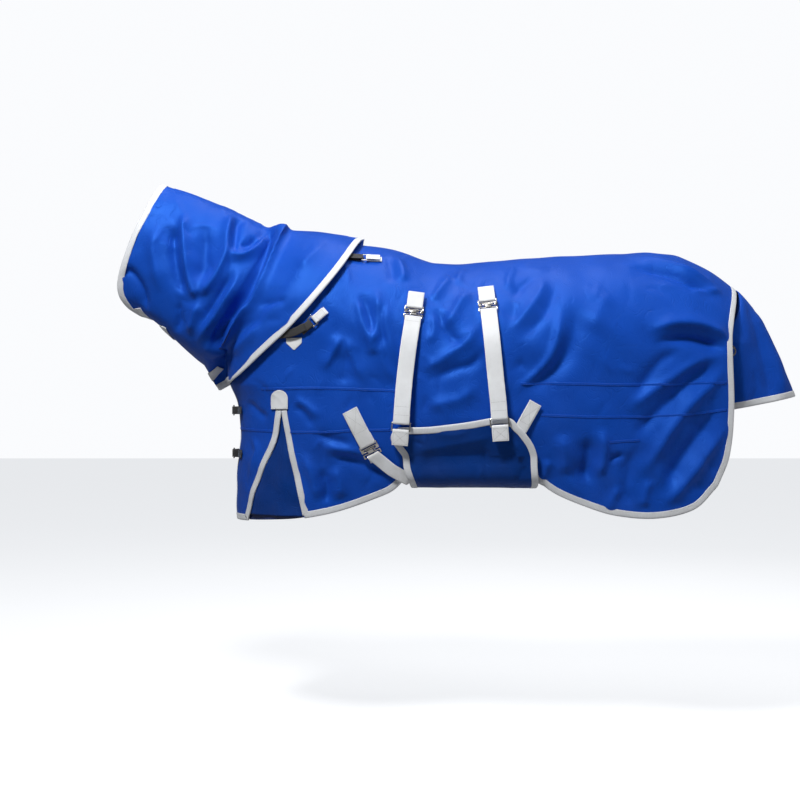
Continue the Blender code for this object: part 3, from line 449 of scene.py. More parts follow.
def mesh_of(name: str, points: Array, faces: Array, uv: Optional[Array] = None) -> Piece:
    """An object from whole arrays.

    Args:
        name: The piece's name.
        points: A row for each vertex.
        faces: Vertex numbers, a row of four for each face.
        uv: The map's place of each vertex, in metres.

    Returns:
        The new object, shaded smooth and at the origin.
    """
    mesh = bpy.data.meshes.new(name)
    mesh.vertices.add(len(points))
    mesh.vertices.foreach_set("co", np.ascontiguousarray(points, np.float32).ravel())
    mesh.loops.add(faces.size)
    mesh.loops.foreach_set("vertex_index", np.ascontiguousarray(faces, np.int32).ravel())
    mesh.polygons.add(len(faces))
    mesh.polygons.foreach_set("loop_start", np.arange(0, faces.size, faces.shape[1], dtype=np.int32))
    if uv is not None:
        layer = mesh.uv_layers.new(name="cloth")
        layer.data.foreach_set("uv", np.ascontiguousarray(uv[faces.ravel()], np.float32).ravel())
    mesh.update(calc_edges=True)
    mesh.validate()
    mesh.shade_smooth()
    return placed_in_scene(bpy.data.objects.new(name, mesh))


def quads(rows: int, columns: int, closed: bool = False) -> Array:
    """The faces of a grid of vertices, a row of four numbers each. Closed joins the last column to the first."""
    index = np.arange(rows * columns).reshape(rows, columns)
    if closed:
        index = np.hstack([index, index[:, :1]])
    corners = (index[:-1, :-1], index[1:, :-1], index[1:, 1:], index[:-1, 1:])
    return grid(*(corner.ravel() for corner in corners))


def grid_normals(points: Array) -> Array:
    """Each grid point's normal: the cross of the steps along and across it."""
    return unit(np.cross(np.gradient(points, axis=0), np.gradient(points, axis=1)))


def grid_uv(points: Array) -> Array:
    """A map in metres: how far each point is along its column and along its row, from the grid's middle."""
    down = np.linalg.norm(np.diff(points, axis=1), axis=-1)
    down = np.concatenate([np.zeros((len(points), 1)), np.cumsum(down, axis=1)], axis=1)
    along = np.linalg.norm(np.diff(points, axis=0), axis=-1)
    along = np.concatenate([np.zeros((1, points.shape[1])), np.cumsum(along, axis=0)], axis=0)
    along = along - along[len(points) // 2]
    return pairs(along, down)


def thicken(obj: Piece, thick: float, offset: float = -1.0, inner: bool = False) -> None:
    """Gives a sheet its thickness. With inner, its inside and rim take the second material."""
    made = obj.modifiers.new("thickness", "SOLIDIFY")
    made.thickness = thick
    made.offset = offset
    made.use_even_offset = False
    if inner:
        made.material_offset = 1


class Sheet:
    """A cloth laid on a grid, which can be read anywhere on it by its two shares."""

    def __init__(self, points: Array, outward: Array) -> None:
        """Keeps the grid and turns its normals to the side that outward, one direction or many, points to."""
        self.points = points
        normals = grid_normals(points)
        self.flip = float((normals * outward).sum(-1).mean()) < 0
        self.normals = -normals if self.flip else normals

    def lifted(self, height: Array) -> Sheet:
        """The same sheet moved along its normals."""
        return Sheet(self.points + self.normals * height[..., None], self.normals)

    def at(self, u: Array, v: Array, lift: Array | float = 0.0) -> tuple[Array, Array]:
        """Points and normals at these shares, as the weighted mean of the four grid points round each."""
        rows, columns = self.points.shape[0] - 1, self.points.shape[1] - 1
        a, b = np.clip(np.asarray(u, float), 0, 1) * rows, np.clip(np.asarray(v, float), 0, 1) * columns
        i, j = np.minimum(a.astype(int), rows - 1), np.minimum(b.astype(int), columns - 1)
        s, t = (a - i)[..., None], (b - j)[..., None]

        def mix(grid: Array) -> Array:
            top = grid[i, j] * (1 - t) + grid[i, j + 1] * t
            return top * (1 - s) + (grid[i + 1, j] * (1 - t) + grid[i + 1, j + 1] * t) * s

        outs = unit(mix(self.normals))
        return mix(self.points) + outs * np.reshape(lift, (-1, 1)), outs

    def build(self, name: str, keep: Optional[Array] = None) -> Piece:
        """The sheet as an object facing outwards. keep says which grid cells have cloth."""
        faces = quads(*self.points.shape[:2])
        if keep is not None:
            faces = faces[keep.ravel()]
        if self.flip:
            faces = faces[:, ::-1]
        return mesh_of(name, self.points.reshape(-1, 3), faces, grid_uv(self.points))


def shares(rows: int, columns: int) -> tuple[Array, Array]:
    """The two shares of every point of a grid with this many cells."""
    return np.meshgrid(np.linspace(0, 1, rows + 1), np.linspace(0, 1, columns + 1), indexing="ij")


class Band:
    """A strap or tape: a closed section carried along a path, with its width across and its face outwards."""

    def __init__(self, centres: Array, sides: Array, outs: Array) -> None:
        """Keeps the path and squares its directions up to it."""
        self.centres = centres
        along = ahead(centres)
        self.sides = unit(sides - along * (sides * along).sum(-1, keepdims=True))
        faces = np.cross(along, self.sides)
        self.outs = faces * np.sign((faces * outs).sum(-1).mean())
        self.along = lengths(centres)

    @classmethod
    def on_path(cls, path: Array, sides: Array, step: float, ease: int = 3) -> Band:
        """A band along a path with a few points, its width along sides, read again at even steps.

        Args:
            path: The centre line.
            sides: The direction of the width at each point.
            step: The distance between the band's sections.
            ease: Passes of easing.

        Returns:
            The band, with its face on the outer side of the path's turn from ahead to sides.
        """
        whole = even(np.hstack([path, sides * 1e-6]), step, ease)
        centres, sides = whole[:, :3], unit(whole[:, 3:])
        return cls(centres, sides, np.cross(sides, ahead(centres)))

    def build(self, name: str, section: Array) -> Piece:
        """The band as an object. section lists (across, out) offsets, once round, in metres."""
        across, out = section[None, :, 0:1], section[None, :, 1:2]
        points = self.centres[:, None] + self.sides[:, None] * across + self.outs[:, None] * out
        round_it = lengths(np.vstack([section, section[:1]]))[:-1]
        uv = pairs(*np.broadcast_arrays(self.along[:, None], round_it))
        return closed_up(mesh_of(name, points.reshape(-1, 3), quads(len(points), len(section), closed=True), uv))

    def at(self, along: Array, across: Array, lift: float) -> tuple[Array, Array]:
        """Points on the band's face at these distances along and across it, and the way out there."""
        row = table_at(along, self.along, np.hstack([self.centres, self.sides, self.outs]))
        outs = unit(row[:, 6:])
        return row[:, :3] + row[:, 3:6] * np.reshape(across, (-1, 1)) + outs * lift, outs


def closed_up(obj: Piece) -> Piece:
    """Fills a tube's two ends, where it has any, and turns each closed part's faces outwards."""
    bm = bmesh.new()
    bm.from_mesh(obj.data)
    if ends := [edge for edge in bm.edges if edge.is_boundary]:
        bmesh.ops.holes_fill(bm, edges=ends, sides=0)
    bmesh.ops.recalc_face_normals(bm, faces=bm.faces)
    bm.to_mesh(obj.data)
    bm.free()
    return obj


def flat_section(width: float, thick: float, crown: float = 0.0) -> Array:
    """Webbing's section: a flat rectangle with round edges, its outer face crowned by a quarter sine."""
    across = np.linspace(-1, 1, 9) * (width / 2 - thick * 0.4)
    top = grid(across, thick / 2 + crown * np.cos(across / width * math.pi))
    turn = np.array([(width / 2 - thick * 0.1, thick * 0.28), (width / 2, 0), (width / 2 - thick * 0.1, -thick * 0.28)])
    under = grid(across[::-1], np.full(9, -thick / 2))
    return np.vstack([top, turn, under, turn[::-1] * (-1, 1)])


TAPE_SECTION = np.array([
    (18, 0.2), (18, 0.9), (16.4, 1.3), (10, 1.7), (3, 1.8), (-1.2, 1.3), (-2.6, -0.4), (-2.6, -2.6), (-1.2, -4.2),
    (3, -4.8), (11, -4.5), (12, -3.9), (11, -3.4), (3, -3.5), (-0.6, -3.1), (-1.5, -2.2), (-1.5, -0.8),
    (-0.6, 0.1), (3, 0.35), (12, 0.25)]) * MM


def stitches(name: str, points: Array, outs: Array, length: float = 4.2 * MM, pitch: float = 5.6 * MM,
             thick: float = 0.9 * MM) -> Piece:
    """A row of stitches: long eight-sided beads at even steps along a line.

    Args:
        name: The piece's name.
        points: The line, or several lines with a row of NaN between them.
        outs: The way out of the cloth at each point.
        length: The length of a stitch.
        pitch: The distance from one to the next.
        thick: The thread's thickness.

    Returns:
        One object with all the stitches.
    """
    broken = np.isnan(points[:, 0])
    runs = np.split(np.arange(len(points)), np.flatnonzero(broken))
    centres, aheads, lifts = [], [], []
    for run in runs:
        run = run[~broken[run]]
        if len(run) < 2:
            continue
        along = lengths(points[run])
        count = max(int(along[-1] / pitch), 1)
        places = (np.arange(count) + 0.5) * along[-1] / count
        rows = table_at(places, along, np.hstack([points[run], outs[run]]))
        step = table_at(places + 1e-3, along, points[run]) - table_at(places - 1e-3, along, points[run])
        centres.append(rows[:, :3])
        lifts.append(unit(rows[:, 3:]))
        aheads.append(unit(step))
    centre, out, ahead = np.vstack(centres), np.vstack(lifts), np.vstack(aheads)
    side = np.cross(ahead, out)
    form = np.array([(-1, 0, -0.6)] + [(end, math.cos(a), math.sin(a)) for end in (-0.6, 0.6)
                                      for a in (0, math.pi / 2, math.pi, math.pi * 1.5)] + [(1, 0, -0.6)])
    form = form * (length / 2, thick / 2, thick / 2)
    points = (centre[:, None] + ahead[:, None] * form[:, 0:1] + side[:, None] * form[:, 1:2]
              + out[:, None] * form[:, 2:3])
    ring = np.arange(4)
    after = (ring + 1) % 4
    body = grid(1 + ring, 1 + after, 5 + after, 5 + ring)
    start, end = grid(0 * ring, 1 + after, 1 + ring), grid(0 * ring + 9, 5 + ring, 5 + after)
    tris = np.vstack([start, end, body[:, [0, 1, 2]], body[:, [0, 2, 3]]])
    faces = (tris[None] + np.arange(len(centre))[:, None, None] * len(form)).reshape(-1, 3)
    return closed_up(mesh_of(name, points.reshape(-1, 3), faces))


def broken(*lines: Array) -> Array:
    """Several lines in one array, with a row of NaN between them."""
    gap = np.full((1, lines[0].shape[1]), np.nan)
    return np.vstack([part for line in lines for part in (line, gap)][:-1])


# ---------------------------------------------------------------- the worn shape
def ring_share(v: Array) -> Array:
    """Even steps round an oval, as shares of its height."""
    return (1 - np.cos(math.pi * v)) / 2


def round_off(share: Array) -> Array:
    """A quarter circle's height at this share of its radius."""
    return np.sqrt(1 - (1 - np.clip(share, 0, 1)) ** 2)


class Side(Enum):
    """A side of the horse, and the sign of y there."""

    NEAR = -1
    OFF = 1

    @property
    def word(self) -> str:
        """The side's name as pieces use it."""
        return self.name.lower()


class WornShape:
    """The rug's body as a horse fills it: half its width at any side-view point, and the folds on it."""

    def __init__(self) -> None:
        """Reads the outlines."""
        self.top = reader(TOPLINE)
        self.width = reader(BODY_WIDTH)
        self.hem = reader(HEM)
        self.chest = by_height(CHEST_FRONT)
        self.rear = by_height(REAR_EDGE)
        self.slit_front = by_height(SLIT_FRONT)
        self.slit_rear = by_height(SLIT_REAR)
        back = [point for point in TOPLINE if point[0] > -0.1]
        self.edges = Line(HEM), Line(NECKLINE, back), Line(CHEST_FRONT), Line(REAR_EDGE)
        self.folds = {Side.NEAR: BODY_FOLDS, Side.OFF: BODY_FOLDS.varied(23)}

    def half_width(self, x: Array, z: Array) -> Array:
        """Half the width: the broad sides, rounded over back and chest, less the pull of the belly wrap.

        The roundings are quarter circles 0.33 m and 0.27 m deep, and the pull is the product of two bells.
        """
        back = round_off((self.top(x) - z) / 0.33)
        chest = round_off((x - self.chest(z)) / 0.27)
        under = (1 - np.exp(-((np.minimum(0.56 + z, 0) / 0.2) ** 2))) * np.exp(-(((x - 0.33) / 0.42) ** 2))
        return self.width(x) * back * chest - 0.086 * under

    def folded(self, side: Side, x: Array, z: Array) -> Array:
        """The folds' lift at side-view points, with both sides' folds meeting on the back.

        They are calm under the clips, the wrap and the hems, where stitching or a strap holds the cloth.
        """
        own = self.folds[side].at(x, z)
        other = self.folds[Side.OFF if side is Side.NEAR else Side.NEAR].at(x, z)
        share = 0.5 + 0.5 * smooth((self.top(x) - z) / 0.07)
        lift = own * share + other * (1 - share)
        held = np.zeros(x.shape)
        spots = ((0.172, -0.235, 0.045), (0.405, -0.215, 0.045), (0.04, -0.068, 0.05), (-0.13, -0.262, 0.05),
                 (0.010, -0.60, 0.05), (0.05, -0.68, 0.05), (1.165, -0.345, 0.03), (0.535, -0.545, 0.04),
                 (-0.245, -0.51, 0.035))
        for spot_x, spot_z, reach in spots:
            held = np.maximum(held, np.exp(-(((x - spot_x) ** 2 + (z - spot_z) ** 2) / reach**2)))
        held = np.maximum(held, 0.85 * smooth(1 - (z - self.hem(x)) / 0.05))
        held = np.maximum(held, 0.80 * smooth(1 - (self.rear(z) - x) / 0.04))
        wrap = smooth((-0.55 - z) / 0.06) * smooth((x - 0.06) / 0.05) * smooth((0.60 - x) / 0.05)
        held = np.maximum(held, wrap * 0.8)
        over = np.maximum(lift - 0.004, 0)
        strap = np.exp(-(((x - 0.155) / 0.04) ** 2)) + np.exp(-(((x - 0.42) / 0.04) ** 2))
        strap = np.clip(strap, 0, 1) * smooth((z + 0.60) / 0.05) * smooth((-0.2 - z) / 0.04)
        return (lift - over * strap) * (1 - 0.75 * held)

    def on(self, side: Side, points: Array, lift: Array | float = 0.0, folded: bool = True) -> tuple[Array, Array]:
        """Points on the shell's outer face from side-view points, and the way out there, by finite differences.

        Args:
            side: Which side of the horse.
            points: Rows of (x, z).
            lift: How far off the face.
            folded: Whether the folds are added.

        Returns:
            The points and the outward directions.
        """
        x, z = np.asarray(points, float).T
        step = 2 * MM
        slope_x = (self.half_width(x + step, z) - self.half_width(x - step, z)) / (2 * step)
        slope_z = (self.half_width(x, z + step) - self.half_width(x, z - step)) / (2 * step)
        out = unit(grid(-slope_x, -np.ones_like(x), -slope_z))
        height = np.reshape(lift, -1) + (self.folded(side, x, z) if folded else 0)
        placed = grid(x, -self.half_width(x, z), z) + out * np.reshape(height, (-1, 1))
        turn = np.array([1, -side.value, 1])
        return placed * turn, out * turn

    def sheet(self, side: Side, rows: int, columns: int) -> tuple[Sheet, Array, Array]:
        """One side of the shell, folded: u from chest to tail, v from the back to the hem.

        Returns:
            The sheet, and x and z of its grid.
        """
        u, v = shares(rows, columns)
        x, z = patch(self.edges, u**1.25, ring_share(v))
        gap = np.where(u < 1e-6, CHEST_GAP, BACK_GAP) / 2
        y = side.value * np.maximum(self.half_width(x, z), gap)
        flat = Sheet(grid(x, y, z), np.array([0.0, side.value, 0.3]))
        lift = self.folded(side, x, z)
        points = flat.points + flat.normals * lift[..., None]
        points[..., 1] = side.value * np.maximum(side.value * points[..., 1], gap)
        return Sheet(points, flat.normals), x, z


# ---------------------------------------------------------------- materials
class Nodes:
    """A node tree with short calls for adding and joining nodes."""

    def __init__(self, tree: bpy.types.NodeTree) -> None:
        """Keeps the tree."""
        self.tree = tree

    def add(self, kind: str, settings: Optional[dict[str, object]] = None, **inputs: object) -> bpy.types.Node:
        """A node with its settings and its inputs, where an input is a value or another node's output."""
        node = self.tree.nodes.new(kind)
        for key, value in (settings or {}).items():
            setattr(node, key, value)
        for key, value in inputs.items():
            self.feed(node, int(key[1:]) if key[0] == "i" and key[1:].isdigit() else key.replace("_", " "), value)
        return node

    def feed(self, node: bpy.types.Node, socket: int | str, value: object) -> None:
        """Sets one input, or joins an output to it."""
        if isinstance(value, bpy.types.NodeSocket):
            self.tree.links.new(value, node.inputs[socket])
        else:
            node.inputs[socket].default_value = value

    def math(self, operation: str, *values: object) -> bpy.types.NodeSocket:
        """A Math node's result."""
        node = self.add("ShaderNodeMath", {"operation": operation})
        for i, value in enumerate(values):
            self.feed(node, i, value)
        return node.outputs[0]

    def mix(self, share: object, one: object, two: object) -> bpy.types.NodeSocket:
        """A colour between two, by a share."""
        node = self.add("ShaderNodeMix", {"data_type": "RGBA"})
        for socket, value in ((0, share), (6, one), (7, two)):
            self.feed(node, socket, value)
        return node.outputs[2]

    def group(self, name: str, **inputs: object) -> bpy.types.Node:
        """A shared effect, placed with its own values."""
        return self.add("ShaderNodeGroup", {"node_tree": bpy.data.node_groups[name]}, **inputs)

    def span(self, value: object, low: float, high: float, to_low: float, to_high: float) -> bpy.types.NodeSocket:
        """A value carried from one range to another, and held there."""
        return self.add("ShaderNodeMapRange", i0=value, i1=low, i2=high, i3=to_low, i4=to_high).outputs[0]


def material(name: str) -> tuple[bpy.types.Material, Nodes, bpy.types.Node]:
    """A new material, its nodes and its Principled shader."""
    made = bpy.data.materials.new(name)
    made.use_nodes = True
    return made, Nodes(made.node_tree), made.node_tree.nodes["Principled BSDF"]


def group(name: str, inputs: dict[str, object], outputs: Sequence[str]) -> tuple[Nodes, bpy.types.Node, bpy.types.Node]:
    """A new shader group with named sockets.

    Args:
        name: The group's name.
        inputs: Each input's default; None makes it a vector.
        outputs: The names of its values.

    Returns:
        Its nodes, its input node and its output node.
    """
    tree = bpy.data.node_groups.new(name, "ShaderNodeTree")
    for key, default in inputs.items():
        kind = "NodeSocketVector" if default is None else "NodeSocketFloat"
        made = tree.interface.new_socket(name=key, in_out="INPUT", socket_type=kind)
        if default is not None:
            made.default_value = default
    for key in outputs:
        tree.interface.new_socket(name=key, in_out="OUTPUT", socket_type="NodeSocketFloat")
    nodes = Nodes(tree)
    return nodes, nodes.add("NodeGroupInput"), nodes.add("NodeGroupOutput")


def weave_group() -> bpy.types.NodeTree:
    """Woven threads: each is a squared sine, and the product of both sines says which one lies on top."""
    n, start, end = group("weave", {"Vector": None, "Threads": 1200.0, "Ribs": 1.0}, ("Height", "Mask"))
    parts = n.add("ShaderNodeSeparateXYZ", i0=start.outputs["Vector"])
    turns = n.math("MULTIPLY", start.outputs["Threads"], math.pi)
    warp = n.math("SINE", n.math("MULTIPLY", parts.outputs[0], turns))
    weft = n.math("SINE", n.math("MULTIPLY", parts.outputs[1], n.math("MULTIPLY", turns, start.outputs["Ribs"])))
    both = n.math("MULTIPLY", warp, weft)
    height = n.math("MULTIPLY_ADD", n.math("ABSOLUTE", both), 0.6, n.math("MULTIPLY", both, 0.4))
    n.feed(end, "Height", height)
    n.feed(end, "Mask", n.span(both, -1, 1, 0, 1))
    return n.tree


def crumple_group() -> bpy.types.NodeTree:
    """Small creases: one less the square of a centred noise, which makes rounded ridges, on top of a softer noise."""
    n, start, end = group("crumple", {"Vector": None, "Scale": 9.0}, ("Height", "Patches"))
    broad = n.add("ShaderNodeTexNoise", Vector=start.outputs["Vector"], Scale=start.outputs["Scale"], Detail=2.0,
                  Roughness=0.5)
    shifted = n.add("ShaderNodeVectorMath", {"operation": "ADD"}, i0=start.outputs["Vector"], i1=broad.outputs[0])
    fine = n.add("ShaderNodeTexNoise", Vector=shifted.outputs[0], Detail=3.0, Roughness=0.55,
                 Scale=n.math("MULTIPLY", start.outputs["Scale"], 2.3))
    centred = n.math("MULTIPLY_ADD", fine.outputs[0], 3.0, -1.5)
    ridge = n.math("SUBTRACT", 1.0, n.math("MULTIPLY", centred, centred))
    n.feed(end, "Height", n.math("MULTIPLY_ADD", ridge, 0.45, n.math("MULTIPLY", broad.outputs[0], 0.8)))
    n.feed(end, "Patches", broad.outputs[0])
    return n.tree


def dust_and_shade_group() -> bpy.types.NodeTree:
    """Dust that grows downwards: a share of the height times a patchy noise. Where it is strong, as on the webbing, the
    darkening of the lower parts is painted shade.
    """
    n, start, end = group("dust_and_shade", {"Vector": None, "Low": -0.9, "High": -0.4, "Amount": 0.2}, ("Mask",))
    parts = n.add("ShaderNodeSeparateXYZ", i0=start.outputs["Vector"])
    low = n.add("ShaderNodeMapRange", i0=parts.outputs[2], i1=start.outputs["Low"], i2=start.outputs["High"],
                i3=1.0, i4=0.0)
    noise = n.add("ShaderNodeTexNoise", Vector=start.outputs["Vector"], Scale=7.0, Detail=5.0, Roughness=0.6)
    patchy = n.span(noise.outputs[0], 0.38, 0.72, 0, 1)
    amount = n.math("MULTIPLY", n.math("MULTIPLY_ADD", low.outputs[0], 0.75, 0.25), start.outputs["Amount"])
    n.feed(end, "Mask", n.math("MULTIPLY", patchy, amount))
    return n.tree


def scuff_group() -> bpy.types.NodeTree:
    """Rubbed spots and hair-fine scratches: two noises, one drawn out along an axis, cut off at a level."""
    n, start, end = group("scuffs", {"Vector": None, "Scale": 60.0, "Amount": 0.5}, ("Mask", "Height"))
    stretch = n.add("ShaderNodeMapping", i0=start.outputs["Vector"])
    stretch.inputs["Scale"].default_value = (1, 1, 9)
    lines = n.add("ShaderNodeTexNoise", Vector=stretch.outputs[0], Scale=start.outputs["Scale"], Detail=3.0)
    spots = n.add("ShaderNodeTexNoise", Vector=start.outputs["Vector"], Detail=4.0,
                  Scale=n.math("MULTIPLY", start.outputs["Scale"], 0.35))
    worn = n.span(n.math("MULTIPLY_ADD", lines.outputs[0], 0.4, n.math("MULTIPLY", spots.outputs[0], 0.6)),
                  0.45, 0.68, 0, 1)
    n.feed(end, "Mask", n.math("MULTIPLY", worn, start.outputs["Amount"]))
    n.feed(end, "Height", lines.outputs[0])
    return n.tree


Colour = tuple[float, float, float]


@dataclass(frozen=True)
class Cloth:
    """A woven finish: its two thread colours, what dust and painted shade lower down do to it, its gloss and the size
    of its weave.
    """

    name: str
    colour: Colour
    second: Colour
    dust_and_shade_colour: Colour = (0.30, 0.27, 0.23)
    roughness: tuple[float, float] = (0.42, 0.55)
    sheen: float = 0.2
    sheen_colour: Colour = (0.5, 0.6, 0.8)
    threads: float = 900.0
    ribs: float = 1.0
    weave_depth: float = 0.15 * MM
    crease: float = 0.0
    crease_scale: float = 9.0
    dust_and_shade: float = 0.15
    specular: float = 0.5
    gloss_colour: Colour = (1.0, 1.0, 1.0)

    def build(self) -> bpy.types.Material:
        """The finish as a material, made once."""
        if found := bpy.data.materials.get(self.name):
            return found
        made, n, shader = material(self.name)
        place = n.add("ShaderNodeTexCoord")
        weave = n.group("weave", Vector=place.outputs["UV"], Threads=self.threads, Ribs=self.ribs)
        crumple = n.group("crumple", Vector=place.outputs["Object"], Scale=self.crease_scale)
        # The downward mask below mixes in the dust colour: dust, and painted shade on the lower parts where it is
        # strong.
        dust_and_shade = n.group("dust_and_shade", Vector=place.outputs["Object"], Amount=self.dust_and_shade)
        thread = n.mix(n.math("MULTIPLY_ADD", weave.outputs["Mask"], 0.45,
                              n.math("MULTIPLY", crumple.outputs["Patches"], 0.55)),
                       (*self.colour, 1), (*self.second, 1))
        n.feed(shader, "Base Color", n.mix(dust_and_shade.outputs["Mask"], thread, (*self.dust_and_shade_colour, 1)))
        rough = n.span(crumple.outputs["Patches"], 0.3, 0.7, *self.roughness)
        n.feed(shader, "Roughness", n.math("MULTIPLY_ADD", dust_and_shade.outputs["Mask"], 0.4, rough))
        creases = n.add("ShaderNodeBump", Height=crumple.outputs["Height"], Distance=max(self.crease, 1e-5),
                        Strength=1.0 if self.crease else 0.0)
        threads = n.add("ShaderNodeBump", Height=weave.outputs["Height"], Distance=self.weave_depth, Strength=0.8,
                        Normal=creases.outputs[0])
        n.feed(shader, "Normal", threads.outputs[0])
        for socket, value in (("Sheen Weight", self.sheen), ("Sheen Roughness", 0.35),
                              ("Sheen Tint", (*self.sheen_colour, 1)), ("Specular IOR Level", self.specular),
                              ("Specular Tint", (*self.gloss_colour, 1))):
            shader.inputs[socket].default_value = value
        return made


@dataclass(frozen=True)
class Metal:
    """A plated finish: bright metal that scuffs turn duller and warmer."""

    name: str
    colour: Colour
    worn: Colour
    roughness: tuple[float, float] = (0.16, 0.42)

    def build(self) -> bpy.types.Material:
        """The finish as a material, made once."""
        if found := bpy.data.materials.get(self.name):
            return found
        made, n, shader = material(self.name)
        place = n.add("ShaderNodeTexCoord")
        scuffs = n.group("scuffs", Vector=place.outputs["Object"], Scale=90.0, Amount=0.8)
        n.feed(shader, "Base Color", n.mix(scuffs.outputs["Mask"], (*self.colour, 1), (*self.worn, 1)))
        n.feed(shader, "Roughness", n.span(scuffs.outputs["Mask"], 0, 1, *self.roughness))
        bump = n.add("ShaderNodeBump", Height=scuffs.outputs["Height"], Distance=0.05 * MM, Strength=0.5)
        n.feed(shader, "Normal", bump.outputs[0])
        shader.inputs["Metallic"].default_value = 1.0
        return made


SHELL = Cloth("royal_blue_oxford", (0.0055, 0.052, 0.36), (0.0085, 0.074, 0.47), crease=2.6 * MM,
              crease_scale=9.0, dust_and_shade=0.02, roughness=(0.34, 0.46), sheen=0.06, sheen_colour=(0.1, 0.3, 1.0),
              specular=0.55, gloss_colour=(0.05, 0.28, 1.0))
# The shell's blue darkened to about half: painted shade for the wrap that turns under the belly, also used on the
# gusset behind the slit.
PAINTED_SHADE_BLUE = replace(SHELL, name="royal_blue_painted_shade", colour=(0.0030, 0.027, 0.16), second=(0.0048, 0.040, 0.235),
                     crease=2.4 * MM, crease_scale=11.0, dust_and_shade=0.03, roughness=(0.36, 0.48), sheen=0.05, specular=0.45)
LINING = Cloth("navy_lining", (0.006, 0.016, 0.085), (0.012, 0.030, 0.140), crease=1.2 * MM, dust_and_shade=0.04,
               roughness=(0.30, 0.42), sheen=0.1)
BINDING = Cloth("silver_tape", (0.56, 0.58, 0.61), (0.75, 0.77, 0.80), threads=420.0, ribs=0.05,
                weave_depth=0.25 * MM, dust_and_shade=0.22, roughness=(0.45, 0.6), sheen=0.15, sheen_colour=(1, 1, 1),
                crease=0.3 * MM, crease_scale=60.0)
# Its strong downward mask darkens and tints the lower tabs: painted shade.
WEBBING = Cloth("grey_webbing", (0.70, 0.72, 0.74), (0.86, 0.88, 0.91), threads=520.0, ribs=0.8,
                weave_depth=0.35 * MM, dust_and_shade=0.75, dust_and_shade_colour=(0.33, 0.31, 0.26), roughness=(0.55, 0.72), sheen=0.1,
                sheen_colour=(1, 1, 1), crease=0.5 * MM, crease_scale=40.0)
ELASTIC = Cloth("black_elastic", (0.010, 0.010, 0.011), (0.030, 0.030, 0.032), threads=700.0, ribs=0.4,
                weave_depth=0.3 * MM, dust_and_shade=0.1, roughness=(0.6, 0.75), sheen=0.2)
THREAD = Cloth("pale_thread", (0.55, 0.56, 0.57), (0.70, 0.71, 0.72), threads=2400.0, weave_depth=0.05 * MM)
GREY_THREAD = replace(THREAD, name="grey_thread", colour=(0.20, 0.20, 0.21), second=(0.30, 0.30, 0.31))
BLUE_THREAD = replace(THREAD, name="blue_thread", colour=(0.004, 0.035, 0.30), second=(0.010, 0.065, 0.42))
NICKEL = Metal("nickel_plate", (0.66, 0.64, 0.60), (0.42, 0.39, 0.34))


def finish(obj: Piece, *looks: Cloth | Metal, body: str = "rug", slot: Optional[str] = None,
           stands_for: Sequence[str] = ()) -> Piece:
    """Gives a piece its materials, its body, its material slot and the nodes that it stands for.

    Args:
        obj: The piece.
        looks: Its finishes, the first for its face.
        body: The body that it rides on; empty leaves it unattached.
        slot: Not used.
        stands_for: The CAD nodes that it replaces.

    Returns:
        The same piece.
    """
    obj.data.materials.clear()
    for look in looks:
        obj.data.materials.append(look.build())
    if body:
        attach(obj, body)
    if stands_for:
        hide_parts(*stands_for)
    log.info("%s: %d faces", obj.name, len(obj.data.polygons))
    return obj


def taped(name: str, line: Array, outs: Array, inside: Array, body: str = "rug",
          stands_for: Sequence[str] = (), step: float = 6 * MM) -> None:
    """A folded tape over a cloth's edge, with its row of stitches.

    Args:
        name: The tape's name.
        line: The edge, from end to end.
        outs: The way out of the cloth along it.
        inside: A point well inside the cloth, which says which way the tape's legs run.
        body: The body that it rides on.
        stands_for: The CAD nodes that it replaces.
        step: The distance between its sections.
    """
    whole = even(np.hstack([line, outs * 1e-6]), step, 2)
    centres, outs = whole[:, :3], unit(whole[:, 3:])
    sides = np.cross(ahead(centres), outs)
    sides = sides * np.sign((sides * (inside - centres)).sum(-1).mean())
    bind(name, name + "_stitches", Band(centres, sides, outs), outs, body, stands_for)


def bind(name: str, sewn: str, band: Band, outs: Array, body: str, stands_for: Sequence[str]) -> None:
    """The folded tape of a band and its row of stitches, with the tape's face turned to outs."""
    band.outs = band.outs * np.sign((band.outs * outs).sum(-1, keepdims=True))
    finish(band.build(name, TAPE_SECTION), BINDING, body=body, slot="binding", stands_for=stands_for)
    row = band.centres + band.sides * STITCH_INSET + band.outs * STITCH_LIFT
    finish(stitches(sewn, row, band.outs), THREAD, body=body, slot="binding")


